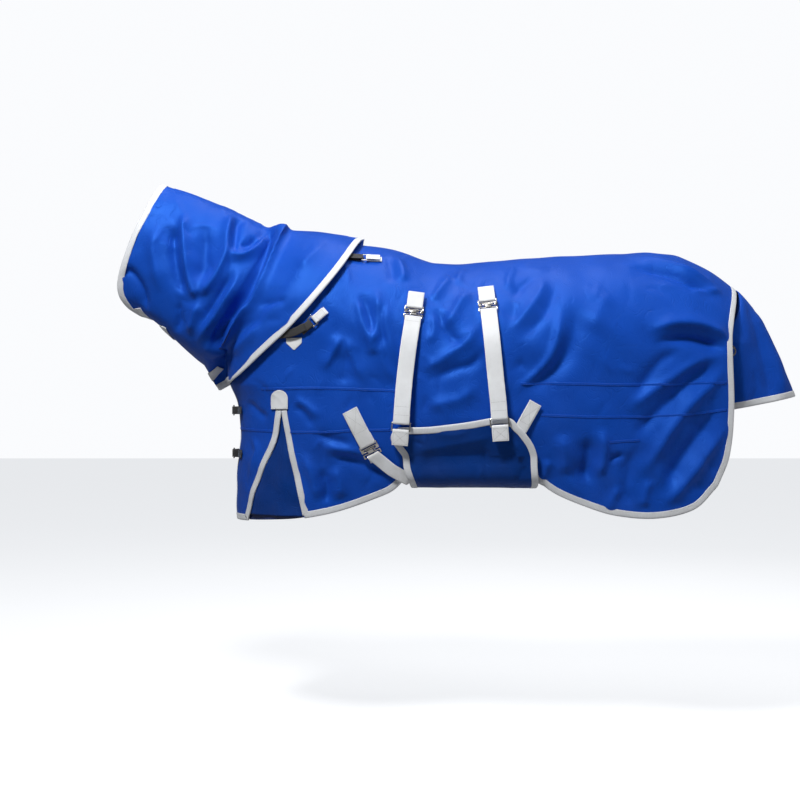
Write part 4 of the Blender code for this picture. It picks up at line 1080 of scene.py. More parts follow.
# ---------------------------------------------------------------- the body
@dataclass
class BodyCloth:
    """The shell, its lining, the gussets behind the shoulder slits, the seams and the tape round the edges."""

    shape: WornShape
    rows: int = 262
    columns: int = 176
    slit_top: float = -0.548
    flat: Pair = (1.95, 0.98)
    flat_area: float = 1.45
    lining_flat: Pair = (1.95, 1.96)
    lining_area: float = 2.9
    gusset_flat: Pair = (0.26, 0.37)
    seams: dict[str, tuple[Pair, ...]] = field(default_factory=lambda: {
        "front": ((-0.392, -0.604), (-0.345, -0.607), (-0.262, -0.61)),
        "shoulder": ((-0.214, -0.612), (-0.10, -0.611), (-0.022, -0.607), (0.10, -0.604)),
        "rear": ((0.563, -0.558), (0.748, -0.564), (0.933, -0.561), (1.056, -0.552), (1.142, -0.542)),
        "upper_front": ((-0.305, -0.478), (-0.114, -0.475), (0.138, -0.484)),
        "upper_rear": ((0.50, -0.462), (0.625, -0.462), (0.871, -0.465), (1.142, -0.459)),
        "dart": ((0.773, -0.641), (0.816, -0.638), (0.865, -0.635))})

    def build(self) -> None:
        """Builds both sides."""
        for side in Side:
            self.shell(side)
            self.edges(side)
            self.gusset(side)
            self.sewn_seams(side)
            self.shoulder_patch(side)
        self.lining()
        self.chest_facing()
        self.back_seam()

    def shell(self, side: Side) -> None:
        """One side's cloth, cut open along the shoulder slit by moving the nearest grid points on to its edges."""
        sheet, x, z = self.shape.sheet(side, self.rows, self.columns)
        gap = 12 * MM
        front = self.shape.slit_front(z) + gap
        rear = self.shape.slit_rear(z) - gap
        below = z < self.slit_top
        cell = np.abs(np.gradient(x, axis=0)) * 0.55
        for edge in (front, rear):
            close = below & (np.abs(x - edge) < cell)
            placed, _ = self.shape.on(side, pairs(edge[close], z[close]))
            sheet.points[close] = placed
            x[close] = edge[close]
        open_point = below & (x > front - 1e-9) & (x < rear + 1e-9)
        corner = open_point[:-1, :-1] & open_point[1:, :-1] & open_point[1:, 1:] & open_point[:-1, 1:]
        obj = sheet.build(f"{side.word}_shell_cloth", ~corner)
        thicken(obj, OUTER_THICK, inner=True)
        finish(obj, SHELL, LINING, slot="shell", stands_for=[f"{side.word}_shell"])

    def edges(self, side: Side) -> None:
        """Tape along the chest, the hem and the rear, and up both edges of the slit."""
        word = side.word
        inside = np.array([0.4, side.value * 0.30, -0.4])
        hem = self.shape.edges[0].at(np.linspace(0, 1, 260))
        rear = self.shape.edges[3].at(np.linspace(1, 0, 110)[1:])
        front_x = self.shape.slit_front(-0.88) + 12 * MM
        rear_x = self.shape.slit_rear(-0.88) - 12 * MM
        chest = self.shape.edges[2].at(np.linspace(0, 1, 70)[:-1])
        first = np.vstack([chest, hem[hem[:, 0] < front_x]])
        second = np.vstack([hem[hem[:, 0] > rear_x], rear])
        self.tape(side, f"{word}_chest_tape", first, inside)
        self.tape(side, f"{word}_hem_tape", second, inside, [f"{word}_hem_binding"])
        front, back = (self.slit_edge(edge, inset) for edge, inset in
                       ((self.shape.slit_front, 12 * MM), (self.shape.slit_rear, -12 * MM)))
        self.tape(side, f"{word}_slit_front_tape", front, np.array([-0.5, side.value * 0.2, -0.7]),
                  [f"{word}_gusset_binding"])
        self.tape(side, f"{word}_slit_rear_tape", back, np.array([0.2, side.value * 0.3, -0.7]))

    def slit_edge(self, edge: Callable[[Array], Array], inset: float) -> Array:
        """One edge of the slit as side-view points, from its top down to the hem."""
        heights = np.linspace(self.slit_top + 6 * MM, -0.91, 80)
        x = edge(heights) + inset
        line = grid(x, heights)
        return line[heights > self.shape.hem(x) + 2 * MM]

    def tape(self, side: Side, name: str, line: Array, inside: Array, stands_for: Sequence[str] = ()) -> None:
        """Tape along a side-view line on the shell."""
        points, outs = self.shape.on(side, line)
        flare = np.abs(points[:, 1]) < CHEST_GAP / 2
        points[flare, 1] = side.value * CHEST_GAP / 2
        taped(name, points, outs, inside, stands_for=stands_for)

    def gusset(self, side: Side) -> None:
        """The loose cloth behind the slit: the worn shape moved in, with two upright pleats, a sine squared."""
        u, v = shares(48, 72)
        z = -0.535 + (self.shape.hem(-0.26) + 0.012 + 0.535) * v
        front, rear = self.shape.slit_front(z) - 12 * MM, self.shape.slit_rear(z) + 12 * MM
        x = front + (rear - front) * u
        shut = smooth(u / 0.3) * smooth((1 - u) / 0.3) * smooth((v - 0.1) / 0.5)
        pleat = np.sin(u * math.tau * 1.1 + 0.4) ** 2 * 6.0 * MM * shut
        placed, _ = self.shape.on(side, pairs(x, z), (pleat - 6.8 * MM).ravel())
        sheet = Sheet(placed.reshape(*u.shape, 3), np.array([0.0, side.value, 0.0]))
        obj = sheet.build(f"{side.word}_gusset_cloth")
        thicken(obj, 2 * MM, inner=True)
        # The gusset takes the darker blue that paints shade on the wrap.
        finish(obj, PAINTED_SHADE_BLUE, LINING, slot="shell", stands_for=[f"{side.word}_gusset"])

    def sewn_seams(self, side: Side) -> None:
        """Lapped seams: a narrow raised strip of the same cloth with blue thread along it."""
        section = flat_section(9 * MM, 1.2 * MM, 0.4 * MM)
        rows, outs = [], []
        for name, line in self.seams.items():
            points, out = self.shape.on(side, spline(line, 40), 0.3 * MM)
            sides = np.cross(out, ahead(points))
            obj = Band(points, sides, out).build(f"{side.word}_{name}_seam", section)
            finish(obj, SHELL, slot="shell")
            for across in (-2.6 * MM, 2.6 * MM):
                rows.append(points + unit(sides) * across + out * 1.1 * MM)
                outs.append(out)
        obj = stitches(f"{side.word}_seam_stitches", broken(*rows), broken(*outs), 3.6 * MM, 5 * MM, 0.8 * MM)
        finish(obj, BLUE_THREAD, slot="shell")

    def shoulder_patch(self, side: Side) -> None:
        """The round-topped patch over the slit's top: a half disc over a square, as one grid of shares."""
        u, v = shares(28, 28)
        across, down = u * 2 - 1, v * 2 - 1
        arch = np.where(down < -0.1, np.sqrt(np.clip(1 - ((down + 0.1) / 0.9) ** 2, 0.02, 1)), 1.0)
        x = -0.243 + across * arch * 27 * MM
        z = -0.510 - down * 30 * MM
        lift = 4.6 * MM + 0.5 * MM * np.cos(across * 1.4)
        placed, outs = self.shape.on(side, pairs(x, z), lift.ravel())
        sheet = Sheet(placed.reshape(*u.shape, 3), np.array([0.0, side.value, 0.0]))
        obj = sheet.build(f"{side.word}_shoulder_patch")
        thicken(obj, 2.2 * MM)
        finish(obj, WEBBING, slot="webbing")
        share = np.linspace(0, 1, 40)
        still = np.ones(40)
        loop = np.vstack([grid(0.08 * still, 1 - share * 0.86 - 0.07), grid(0.08 + share * 0.84, 0.07 * still),
                          grid(0.92 * still, 0.07 + share * 0.86), grid(0.92 - share * 0.84, 0.93 * still)])
        row, outs = sheet.at(loop[:, 0], loop[:, 1], 0.3 * MM)
        finish(stitches(f"{side.word}_patch_stitches", row, outs, 3 * MM, 4.2 * MM, 0.8 * MM), THREAD,
               slot="webbing")

    def lining(self) -> None:
        """The lining: both sides' sheets joined over the back and moved in by the filling's thickness."""
        halves = []
        for side in (Side.OFF, Side.NEAR):
            sheet, _, _ = self.shape.sheet(side, 110, 80)
            points = sheet.points - sheet.normals * (OUTER_THICK + LINING_GAP)
            limit = np.where(np.arange(111) == 0, CHEST_GAP / 2, 0)[:, None]
            points[..., 1] = side.value * np.maximum(side.value * points[..., 1], limit)
            halves.append(points if side is Side.NEAR else points[:, ::-1])
        seam = (halves[0][:, -1:] + halves[1][:, :1]) / 2
        whole = np.concatenate([halves[0][:, :-1], seam, halves[1][:, 1:]], axis=1)
        outward = grid(np.zeros(whole.shape[:2]), np.sign(whole[..., 1]), np.full(whole.shape[:2], 0.2))
        obj = Sheet(whole, outward).build("lining_cloth")
        thicken(obj, 2 * MM)
        finish(obj, LINING, slot="lining", stands_for=["lining"])

    def chest_facing(self) -> None:
        """The strip behind the chest opening: its section is a shallow parabola, 18 mm behind the shell's edges."""
        u, v = shares(12, 60)
        across, z = (u * 2 - 1) * 42 * MM, -0.486 - 0.402 * v
        x = self.shape.chest(z) + 18 * MM + across**2 * 1.9
        sheet = Sheet(grid(x, across, z), np.array([-1.0, 0.0, 0.0]))
        obj = sheet.build("chest_facing")
        thicken(obj, 2 * MM, inner=True)
        finish(obj, SHELL, LINING, slot="lining")

    def back_seam(self) -> None:
        """The seam that joins the two sides along the back."""
        x = np.linspace(0.03, 1.212, 240)
        top = self.shape.top(x)
        lift = sum(self.shape.folded(side, x, top) for side in Side) / 2
        centres = grid(x, np.zeros_like(x), top + lift - 0.2 * MM)
        sides = np.broadcast_to([0.0, 1.0, 0.0], centres.shape)
        outs = np.cross(ahead(centres), sides)
        outs = outs * np.sign(outs[:, 2:3])
        band = Band(centres, sides, outs)
        finish(band.build("back_seam", flat_section(13 * MM, 2.0 * MM, 0.8 * MM)), SHELL, slot="shell")
        rows = [centres + sides * across + outs * 1.6 * MM for across in (-4 * MM, 4 * MM)]
        finish(stitches("back_seam_stitches", broken(*rows), broken(outs, outs), 3.6 * MM, 5 * MM, 0.8 * MM),
               BLUE_THREAD, slot="shell")


# ---------------------------------------------------------------- the neck cover
@dataclass
class NeckCover:
    """The neck cover, one cloth from the poll to the shoulders, with its tapes and its throat tabs."""

    shape: WornShape
    rows: int = 130
    columns: int = 236
    knee: float = 0.6
    width_poll: float = 0.115
    width_base: float = 0.185
    clearance: float = 18 * MM
    flat: Pair = (0.88, 1.55)
    flat_area: float = 0.95
    bend_start: tuple[float, float, float] = (-0.031, 0.0, 0.061)
    bend_end: tuple[float, float, float] = (-0.162, 0.0, 0.186)

    def __post_init__(self) -> None:
        """Works out the cloth."""
        self.edges = (Line(THROAT, THROAT_REAR, knee=self.knee), Line(CREST, CREST_REAR, knee=self.knee),
                      Line(POLL_EDGE), Line(YOKE_REAR))
        self.cloth = self.sheet()

    def sheet(self) -> Sheet:
        """The whole cloth: u from the poll to the shoulders, w from the off throat over the crest to the near one.

        Its width is a sine round the neck's oval, and passes smoothly into the shell's own width plus a clearance.
        """
        u, w = shares(self.rows, self.columns)
        v = np.abs(2 * w - 1)
        x, z = patch(self.edges, u, ring_share(v))
        neck = self.width_poll + (self.width_base - self.width_poll) * np.clip(u / self.knee, 0, 1)
        neck = neck * np.sin(math.pi * v)
        shell = self.shape.half_width(x + self.clearance / 2, z - self.clearance)
        shell = shell + self.clearance * round_off(v / 0.12)
        over = smooth((u - self.knee) / 0.25)
        width = neck + (np.maximum(shell, neck * 0.2) - neck) * over
        edge = (v < 1e-6) | (v > 1 - 1e-6)
        side = np.where(w < 0.5, 1.0, -1.0)
        y = side * np.where(edge, np.where(v > 0.5, 1.2 * MM, 0.0), np.maximum(width, 1.2 * MM))
        flat = Sheet(grid(x, y, z), grid(np.zeros_like(y), side, np.full_like(y, 0.1)))
        near = smooth((w - 0.42) / 0.16)
        lift = NECK_FOLDS.at(x, z) * near + NECK_FOLDS.varied(31).at(x, z) * (1 - near)
        held = smooth(u / 0.05) * smooth((1 - u) / 0.07) * (0.15 + 0.85 * smooth((1 - v) / 0.10))
        points = flat.points + flat.normals * (lift * held)[..., None]
        inside = side * points[..., 1] < 1.2 * MM
        points[..., 1] = np.where(inside & ~(v < 1e-6), side * 1.2 * MM, points[..., 1])
        return Sheet(points, flat.normals)

    def bent(self, obj: Piece) -> Piece:
        """Bakes the piece's transform into its mesh and returns it."""
        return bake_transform(obj)

    def build(self) -> None:
        """Builds the cloth, its lining, its tapes and its tabs."""
        obj = self.cloth.build("neck_cloth")
        thicken(obj, OUTER_THICK, inner=True)
        finish(obj, SHELL, LINING, body="", slot="shell",
               stands_for=["near_neck_panel", "off_neck_panel", "near_yoke", "off_yoke"])
        self.bent(obj)
        w = np.linspace(0.004, 0.996, 300)
        for name, u, body, node in (("poll_tape", 0.0, "neck_cover", "poll_binding"),
                                    ("shoulder_tape", 1.0, "rug", "shoulder_binding")):
            line, outs = self.cloth.at(np.full(300, u), w)
            ahead, _ = self.cloth.at(np.full(300, 0.1 if u == 0 else 0.9), w)
            self.edge_tape(name, line, outs, ahead, body, node)
        self.crest_seam()
        for name, u, body in (("upper_throat_tab", 0.115, "upper_throat_tab"),
                              ("middle_throat_tab", 0.325, "middle_throat_tab"),
                              ("lower_throat_tab", 0.70, "lower_throat_tab")):
            self.throat_tab(name)

    def edge_tape(self, name: str, line: Array, outs: Array, ahead: Array, body: str, node: str) -> None:
        """Tape round an edge that is a whole ring, its legs running towards the points ahead."""
        whole = even(np.hstack([line, outs * 1e-6, (ahead - line) * 1e-6]), 6 * MM, 1)
        centres, outs, sides = whole[:, :3], unit(whole[:, 3:6]), unit(whole[:, 6:])
        bind(name, name + "_stitches", Band(centres, sides, outs), outs, body, [node])

    def crest_seam(self) -> None:
        """The seam along the crest, laid along the middle of the cloth."""
        u = np.linspace(0.06, 0.93, 160)
        centres, outs = self.cloth.at(u, np.full(160, 0.5), -0.2 * MM)
        sides = np.broadcast_to([0.0, 1.0, 0.0], centres.shape)
        obj = Band(centres, sides, outs).build("crest_seam", flat_section(12 * MM, 2.0 * MM, 0.6 * MM))
        self.bent(finish(obj, SHELL, body="", slot="shell"))

    def throat_tab(self, name: str) -> None:
        """A hook-and-loop tab, laid round the throat where its CAD solid is, from off side to near side."""
        low, high = (np.array(corner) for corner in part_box(name))
        middle = (low + high) / 2
        u = np.linspace(0, 1, 201)
        near, _ = self.cloth.at(u, np.full(201, 0.985))
        best = u[np.linalg.norm((near - middle)[:, [0, 2]], axis=1).argmin()]
        w = np.concatenate([np.linspace(0.10, 0.004, 20), np.linspace(0.996, 0.90, 20)])
        path, outs = self.cloth.at(np.full(40, best), w, 3.4 * MM)
        whole = even(np.hstack([path, outs * 1e-6]), 1.5 * MM, 14)
        path, outs = whole[:, :3], unit(whole[:, 3:])
        sides = np.cross(ahead(path), outs)
        band = Band(path, sides, outs)
        held = band.along.searchsorted(8 * MM)
        obj = finish(band.build(name + "_tape", flat_section(30 * MM, 2.2 * MM, 0.3 * MM)), WEBBING, body="",
                     slot="webbing", stands_for=[name])
        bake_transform(obj)
        total = band.along[-1]
        box = np.array([(0.006, -0.011), (total * 0.3, -0.011), (total * 0.3, 0.011), (0.006, 0.011), (0.006, -0.011)])
        far = box * (-1, 1) + (total, 0)
        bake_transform(sew(f"{name}_stitches", band, [box, far], THREAD, "", 1.5 * MM))


def sew(name: str, band: Band, lines: Sequence[Array], look: Cloth, body: str,
        lift: float) -> Piece:
    """Stitches along lines of (along, across) points on a band's face."""
    rows, outs = [], []
    for line in lines:
        dense = even(np.asarray(line, float), 1 * MM, 0)
        point, out = band.at(dense[:, 0], dense[:, 1], lift)
        rows.append(point)
        outs.append(out)
    return finish(stitches(name, broken(*rows), broken(*outs), 3.2 * MM, 4.4 * MM, 0.8 * MM), look, body=body,
                  slot="webbing")


# ---------------------------------------------------------------- the tail flap
@dataclass
class TailFlap:
    """The flap over the tail, a bowed cloth that hangs inside the rear edge."""

    width_top: float = 0.12
    width_hem: float = 0.215
    flat: Pair = (0.62, 0.42)
    root: tuple[float, float, float] = (1.232, 0.0, -0.150)
    free: tuple[float, float, float] = (1.250, 0.0, -0.215)

    def build(self) -> None:
        """Builds the cloth and its tape.

        The cloth's plan is a half ellipse, cosine to the power 0.9 in depth and sine in width, between two curves.
        """
        u, v = shares(110, 84)
        side_line, centre_line = Line(FLAP_SIDE), Line(FLAP_CENTRE)
        angle = math.pi * (u - 0.5)
        edge, bow = side_line.at(v), np.cos(angle)[..., None] ** 0.9
        across = edge + (centre_line.at(v) - edge) * bow
        width = self.width_top + (self.width_hem - self.width_top) * round_off(v * 1.6)
        points = grid(across[..., 0], width * np.sin(angle), across[..., 1])
        flat = Sheet(points, np.array([1.0, 0.0, 0.3]) + grid(np.cos(angle), np.sin(angle), 0 * angle))
        lift = np.where(u < 0.5, FLAP_FOLDS.at(points[..., 0], points[..., 2]),
                        FLAP_FOLDS.varied(41).at(points[..., 0], points[..., 2]))
        pleats = 5 * MM * np.sin(u * math.tau * 3.5 + 0.5) * smooth(v * 1.4) * np.sin(math.pi * u)
        held = smooth(v / 0.15) * smooth(u / 0.06) * smooth((1 - u) / 0.06) * smooth(np.abs(u - 0.5) / 0.06)
        cloth = flat.lifted(lift * held + pleats * smooth(v / 0.2))
        obj = cloth.build("tail_flap_cloth")
        thicken(obj, OUTER_THICK, inner=True)
        finish(obj, SHELL, LINING, body="", slot="shell", stands_for=["tail_flap"])
        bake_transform(obj)
        line, outs = cloth.at(np.linspace(0, 1, 200), np.ones(200))
        above, _ = cloth.at(np.linspace(0, 1, 200), np.full(200, 0.9))
        whole = even(np.hstack([line, outs * 1e-6, (above - line) * 1e-6]), 6 * MM, 1)
        outs = unit(whole[:, 3:6])
        band = Band(whole[:, :3], unit(whole[:, 6:]), outs)
        bind("tail_flap_tape", "tail_flap_stitches", band, outs, "tail_flap", ["tail_flap_binding"])


# ---------------------------------------------------------------- webbing and its fittings
class Seat:
    """Where a strap's fitting sits: along runs the way the strap runs, and out is away from the horse."""

    def __init__(self, origin: Array, along: Array, out: Array) -> None:
        """Squares the directions up."""
        self.origin, self.out = np.array(origin, float), unit(np.array(out, float))
        self.side = unit(np.cross(np.array(along, float), self.out))
        self.along = np.cross(self.out, self.side)

    @classmethod
    def on_body(cls, shape: WornShape, point: Pair, toward: Pair, side: Side = Side.NEAR) -> Seat:
        """The seat at a side-view point of the unfolded shell, looking along a side-view direction."""
        ahead = (point[0] + toward[0] * 0.01, point[1] + toward[1] * 0.01)
        points, outs = shape.on(side, np.array([point, ahead]), 0.0, folded=False)
        return cls(points[0], points[1] - points[0], outs[0])

    def at(self, along: float, out: float) -> Array:
        """The point this far along and out."""
        return self.origin + self.along * along + self.out * out


def bar_loop(seat: Seat, bar: float, depth: float, thick: float, legs: Pair, opens: int) -> Array:
    """A band's path round a bar: its outer leg, a half circle, then its inner leg.

    Args:
        seat: Where the fitting sits.
        bar: How far along the bar is.
        depth: How far out the fitting lies.
        thick: The band's thickness.
        legs: The lengths of the outer and the inner leg; 0 leaves one out.
        opens: 1 where the legs run on past the bar, -1 where they run back from it.

    Returns:
        The path's points.
    """
    radius = METAL_THICK / 2 + LOOP_ROOM + thick / 2
    angles = np.linspace(0, math.pi, 13)
    path = [(bar - opens * radius * math.sin(a), depth + radius * math.cos(a)) for a in angles]
    if legs[0]:
        path.insert(0, (bar + opens * legs[0], depth + radius))
    if legs[1]:
        path.append((bar + opens * legs[1], depth - radius))
    return np.array([seat.at(*place) for place in path])


class Webbing:
    """Every strap, tab and loop of webbing, laid on the same paths as its CAD solid."""

    def __init__(self, shape: WornShape) -> None:
        """Keeps the worn shape that the straps lie on."""
        self.shape = shape

    def strip(self, name: str, path: Array, sides: Array, width: float = WEBBING_WIDTH, body: str = "rug",
              look: Cloth = WEBBING, thick: float = WEBBING_THICK, step: float = 1.4 * MM, ease: int = 4) -> Band:
        """A strip that stands for the CAD node of its name.

        Args:
            name: The node's name.
            path: The centre line.
            sides: The width's direction, one or one for each point.
            width: The strip's width.
            body: The body that it rides on.
            look: Its finish.
            thick: Its thickness.
            step: The distance between sections.
            ease: Passes of easing.

        Returns:
            The band, for stitches to be laid on.
        """
        sides = np.broadcast_to(sides, path.shape)
        band = Band.on_path(path, sides, step, ease)
        middle = np.array([0.35, 0.0, -0.40])
        if ((band.outs * (band.centres - middle)).sum(-1).mean()) < 0:
            band.outs = -band.outs
        obj = band.build(f"{name}_webbing", flat_section(width, thick, 0.25 * MM))
        slot = "elastic" if look is ELASTIC else "webbing"
        finish(obj, look, body=body, slot=slot, stands_for=[name])
        return band

    def laid(self, side: Side, line: Array, lift: Array | float) -> tuple[Array, Array]:
        """Points over the unfolded shell along side-view points, and the way out there."""
        return self.shape.on(side, line, lift, folded=False)

    def build(self) -> None:
        """Builds all of it."""
        for place, points in (("front", FRONT_STRAP), ("rear", REAR_STRAP)):
            self.near_strap(place, points)
            self.off_strap(place, points)
        self.surcingles()
        self.neck_tabs()
        self.chest_straps()
        self.ring_tabs()

    def seat(self, point: Pair, one: Pair, two: Pair, span: float) -> Seat:
        """The seat at a strap's end, looking from one of its points to the next."""
        return Seat.on_body(self.shape, point, ((two[0] - one[0]) / span, (two[1] - one[1]) / span))

    def near_strap(self, place: str, points: Sequence[Pair]) -> None:
        """A strap that clips on above and goes through a slider below, with its two tabs."""
        head = self.seat(points[0], points[0], points[1], 0.08)
        foot = self.seat(points[-1], points[-2], points[-1], 0.05)
        name = "near_" + place
        tab = self.strip(name + "_tab", bar_loop(head, -0.0375, CLIP_DEPTH, WEBBING_THICK, (0.0416, 0.052), -1),
                         head.side)
        self.box_stitch(name + "_tab_stitches", tab, 0.004, 0.036, "rug", cross=False)
        radius = METAL_THICK / 2 + LOOP_ROOM + WEBBING_THICK / 2
        top = bar_loop(head, -0.0030, CLIP_DEPTH, WEBBING_THICK, (0, 0.0275), 1)[::-1]
        share = np.linspace(0, 1, 33)[4:-4]
        lift = radius + CLIP_DEPTH + (SLIDER_DEPTH - CLIP_DEPTH) * share
        middle, _ = self.laid(Side.NEAR, Line(points).at(share), lift)
        wave = np.sin(share * 9.0 + 0.6)[:, None] * foot.out * 1.2 * MM * np.sin(math.pi * share)[:, None]
        bottom = bar_loop(foot, 0.002, SLIDER_DEPTH, WEBBING_THICK, (0, 0.0275), -1)
        path = np.vstack([top, middle + wave, bottom])
        turn = np.concatenate([np.zeros(len(top)), share, np.ones(len(bottom))])[:, None]
        strap = self.strip(name + "_strap", path, unit(head.side * (1 - turn) + foot.side * turn),
                           body=name + "_strap")
        total = strap.along[-1]
        self.cross_lines(name + "_strap_stitches", strap, (0.0385, 0.052, total - 0.062, total - 0.088),
                         name + "_strap")
        low = self.strip(name + "_wrap_tab", bar_loop(foot, 0.026, SLIDER_DEPTH, WEBBING_THICK, (0.045, 0.036), 1),
                         foot.side, body="near_wrap")
        self.box_stitch(name + "_wrap_tab_stitches", low, 0.004, 0.040, "near_wrap")

    def box_stitch(self, name: str, band: Band, start: float, end: float, body: str, cross: bool = True,
                   width: float = WEBBING_WIDTH) -> None:
        """A sewn box, with a cross in it unless told otherwise."""
        edge = width / 2 - 4 * MM
        box = np.array([(start, -edge), (end, -edge), (end, edge), (start, edge), (start, -edge)])
        lines = [box, box[[0, 2]], box[[1, 3]]] if cross else [box]
        sew(name, band, lines, GREY_THREAD, body, 1.6 * MM)

    def cross_lines(self, name: str, band: Band, places: Sequence[float], body: str) -> None:
        """Rows of stitches straight across a strap."""
        edge = WEBBING_WIDTH / 2 - 3 * MM
        sew(name, band, [np.array([(place, -edge), (place, edge)]) for place in places], GREY_THREAD, body,
            1.6 * MM)

    def off_strap(self, place: str, points: Sequence[Pair]) -> None:
        """The plain strap on the off side, sewn to the shell above and to the wrap below."""
        share = np.linspace(0, 1, 60)
        line = Line([(points[0][0], points[0][1] + 0.06), *points, (points[-1][0], points[-1][1] - 0.055)])
        lift = 4.5 * MM + 25.5 * MM * smooth(share * 1.25 - 0.05)
        path, outs = self.laid(Side.OFF, line.at(share), lift)
        sides = np.cross(ahead(path), outs)
        strap = self.strip(f"off_{place}_strap", path, sides, step=3 * MM)
        self.box_stitch(f"off_{place}_upper_stitches", strap, 0.004, 0.046, "rug")
        total = strap.along[-1]
        self.box_stitch(f"off_{place}_lower_stitches", strap, total - 0.046, total - 0.004, "rug")

    def surcingles(self) -> None:
        """The two straps that cross under the belly, inside the wrap."""
        seat = self.seat(SURCINGLE_TAB[-1], SURCINGLE_TAB[-2], SURCINGLE_TAB[-1], 0.05)
        run, _ = self.laid(Side.NEAR, Line(SURCINGLE_TAB).at(np.linspace(0, 0.9, 12)), CLIP_DEPTH + 3.6 * MM)
        tab_end = bar_loop(seat, -0.0015, CLIP_DEPTH, WEBBING_THICK, (0, 0.033), -1)
        tab = self.strip("surcingle_tab", np.vstack([run, tab_end]), seat.side)
        self.box_stitch("surcingle_tab_stitches", tab, 0.004, 0.075, "rug")
        start = bar_loop(seat, 0.0333, CLIP_DEPTH, WEBBING_THICK, (0, 0.022), 1)[::-1]
        self.surcingle("front_surcingle", start, FRONT_SURCINGLE, REAR_SURCINGLE, (18.5, 11.5, 11.0), seat.side)
        sewn = (SURCINGLE_TAB[0], SURCINGLE_TAB[-1], *FRONT_SURCINGLE[1:])
        rear = self.surcingle("rear_surcingle", None, REAR_SURCINGLE, sewn, (11.0, 5.0, 15.0), None)
        self.box_stitch("rear_surcingle_stitches", rear, 0.004, 0.070, "rug", width=40 * MM)

    def surcingle(self, name: str, start: Optional[Array], near: Sequence[Pair], off: Sequence[Pair],
                  rises: Sequence[float], first_side: Optional[Array]) -> Band:
        """A strap from the near side, under the belly, and up the off side."""
        share = np.linspace(0, 1, 10)
        lift = 10.5 * MM - 1.5 * MM * share**4
        near_run, near_out = self.laid(Side.NEAR, Line(near).at(share), lift)
        off_run, off_out = self.laid(Side.OFF, Line(off[::-1]).at(share), lift[::-1])
        first, last = near_run[-1], off_run[0]
        under = []
        for place, rise in zip((0.085, 0.5, 0.915), rises):
            x, y = (first + (last - first) * place)[:2]
            reach = min(abs(y) / (float(self.shape.half_width(x, BELLY_Z + BELLY_ROUND)) + WRAP_CLEARANCE), 1)
            floor = BELLY_Z + BELLY_ROUND - BELLY_ROUND * (1 - reach**5) ** 0.2
            under.append((x, y, floor + OUTER_THICK + rise * MM))
        path = np.vstack([near_run, under, off_run])
        outs = np.vstack([near_out, [(0, -0.4, -1), (0, 0, -1), (0, 0.4, -1)], off_out])
        sides = np.cross(ahead(path), outs)
        if start is not None and first_side is not None:
            sign = np.sign((sides[0] * first_side).sum())
            path = np.vstack([start, path])
            sides = np.vstack([[first_side * sign] * len(start), sides])
        return self.strip(name, path, unit(sides), 40 * MM, step=2.2 * MM, ease=6)

    def neck_tabs(self) -> None:
        """The small tabs and elastics that hold the neck cover to the shell, and the patch under the lower one."""
        clips = (("upper", (0.030, -0.066), (-1.0, 0.05), ((-0.020, -0.063), (-0.045, -0.060), (-0.070, -0.056))),
                 ("lower", (-0.130, -0.262), (-0.75, -0.66), ((-0.163, -0.286), (-0.196, -0.302), (-0.245, -0.310))))
        for place, point, toward, ends in clips:
            seat = Seat.on_body(self.shape, point, toward)
            name = f"near_{place}_neck"
            tab = self.strip(name + "_tab", bar_loop(seat, 0.002, CLIP_DEPTH, WEBBING_THICK, (0.040, 0.046), -1),
                             seat.side, SMALL_WEBBING)
            self.box_stitch(name + "_tab_stitches", tab, 0.003, 0.030, "rug", cross=False, width=SMALL_WEBBING)
            loop = bar_loop(seat, 0.019, CLIP_DEPTH, 2 * MM, (0.020, 0.040), 1)
            lead = 8 * MM + METAL_THICK / 2 + LOOP_ROOM + 1 * MM
            run, outs = self.laid(Side.NEAR, spline(ends, 4), lead)
            path = np.vstack([run[::-1], loop])
            sides = np.vstack([-np.cross(ahead(run[::-1]), outs[::-1]),
                               np.broadcast_to(seat.side, loop.shape)])
            sides = sides * np.sign((sides * seat.side).sum(-1, keepdims=True))
            self.strip(name + "_elastic", path, sides, SMALL_WEBBING, look=ELASTIC, thick=2 * MM)
        u, v = shares(16, 16)
        depth = np.where(v < 0.45, 1.0, 1 - (v - 0.45) / 0.55 * 0.96)
        x = -0.197 + (u * 2 - 1) * 24 * MM * depth
        z = -0.318 - v * 38 * MM
        placed, _ = self.shape.on(Side.NEAR, pairs(x, z), 1.6 * MM)
        patch_cloth = Sheet(placed.reshape(17, 17, 3), np.array([0.0, -1.0, 0.0]))
        obj = patch_cloth.build("near_neck_patch")
        thicken(obj, 1.5 * MM)
        finish(obj, WEBBING, slot="webbing")

    def chest_straps(self) -> None:
        """The straps across the chest and the tabs that hold their loops."""
        for place, z in (("upper", -0.545), ("lower", -0.685)):
            front = float(self.shape.chest(z))
            seat = Seat((front - 0.002, -0.030, z), (0, -1, 0), (-1, 0, 0))
            tab = bar_loop(seat, 0.008, 13 * MM, WEBBING_THICK, (0, 0.015), 1)
            run = self.chest_run(z, (-0.065, -0.085, -0.105), 6 * MM)
            self.strip(f"chest_{place}_tab", np.vstack([tab, run]), seat.side, SMALL_WEBBING, look=ELASTIC)
            strap = bar_loop(seat, -0.009, 13 * MM, WEBBING_THICK, (0.010, 0.0), -1)
            run = self.chest_run(z, (0.025, 0.06, 0.085, 0.11), 7 * MM)[::-1]
            self.strip(f"chest_{place}_strap", np.vstack([run, strap]), seat.side, SMALL_WEBBING, look=ELASTIC)

    def chest_run(self, z: float, places: Sequence[float], lift: float) -> Array:
        """Points on the front of the chest at these distances across it."""
        x = np.linspace(0, 0.08, 200) + float(self.shape.chest(z))
        width = self.shape.half_width(x, np.full_like(x, z))
        return np.array([(np.interp(abs(y), width, x) - lift, y, z) for y in places])

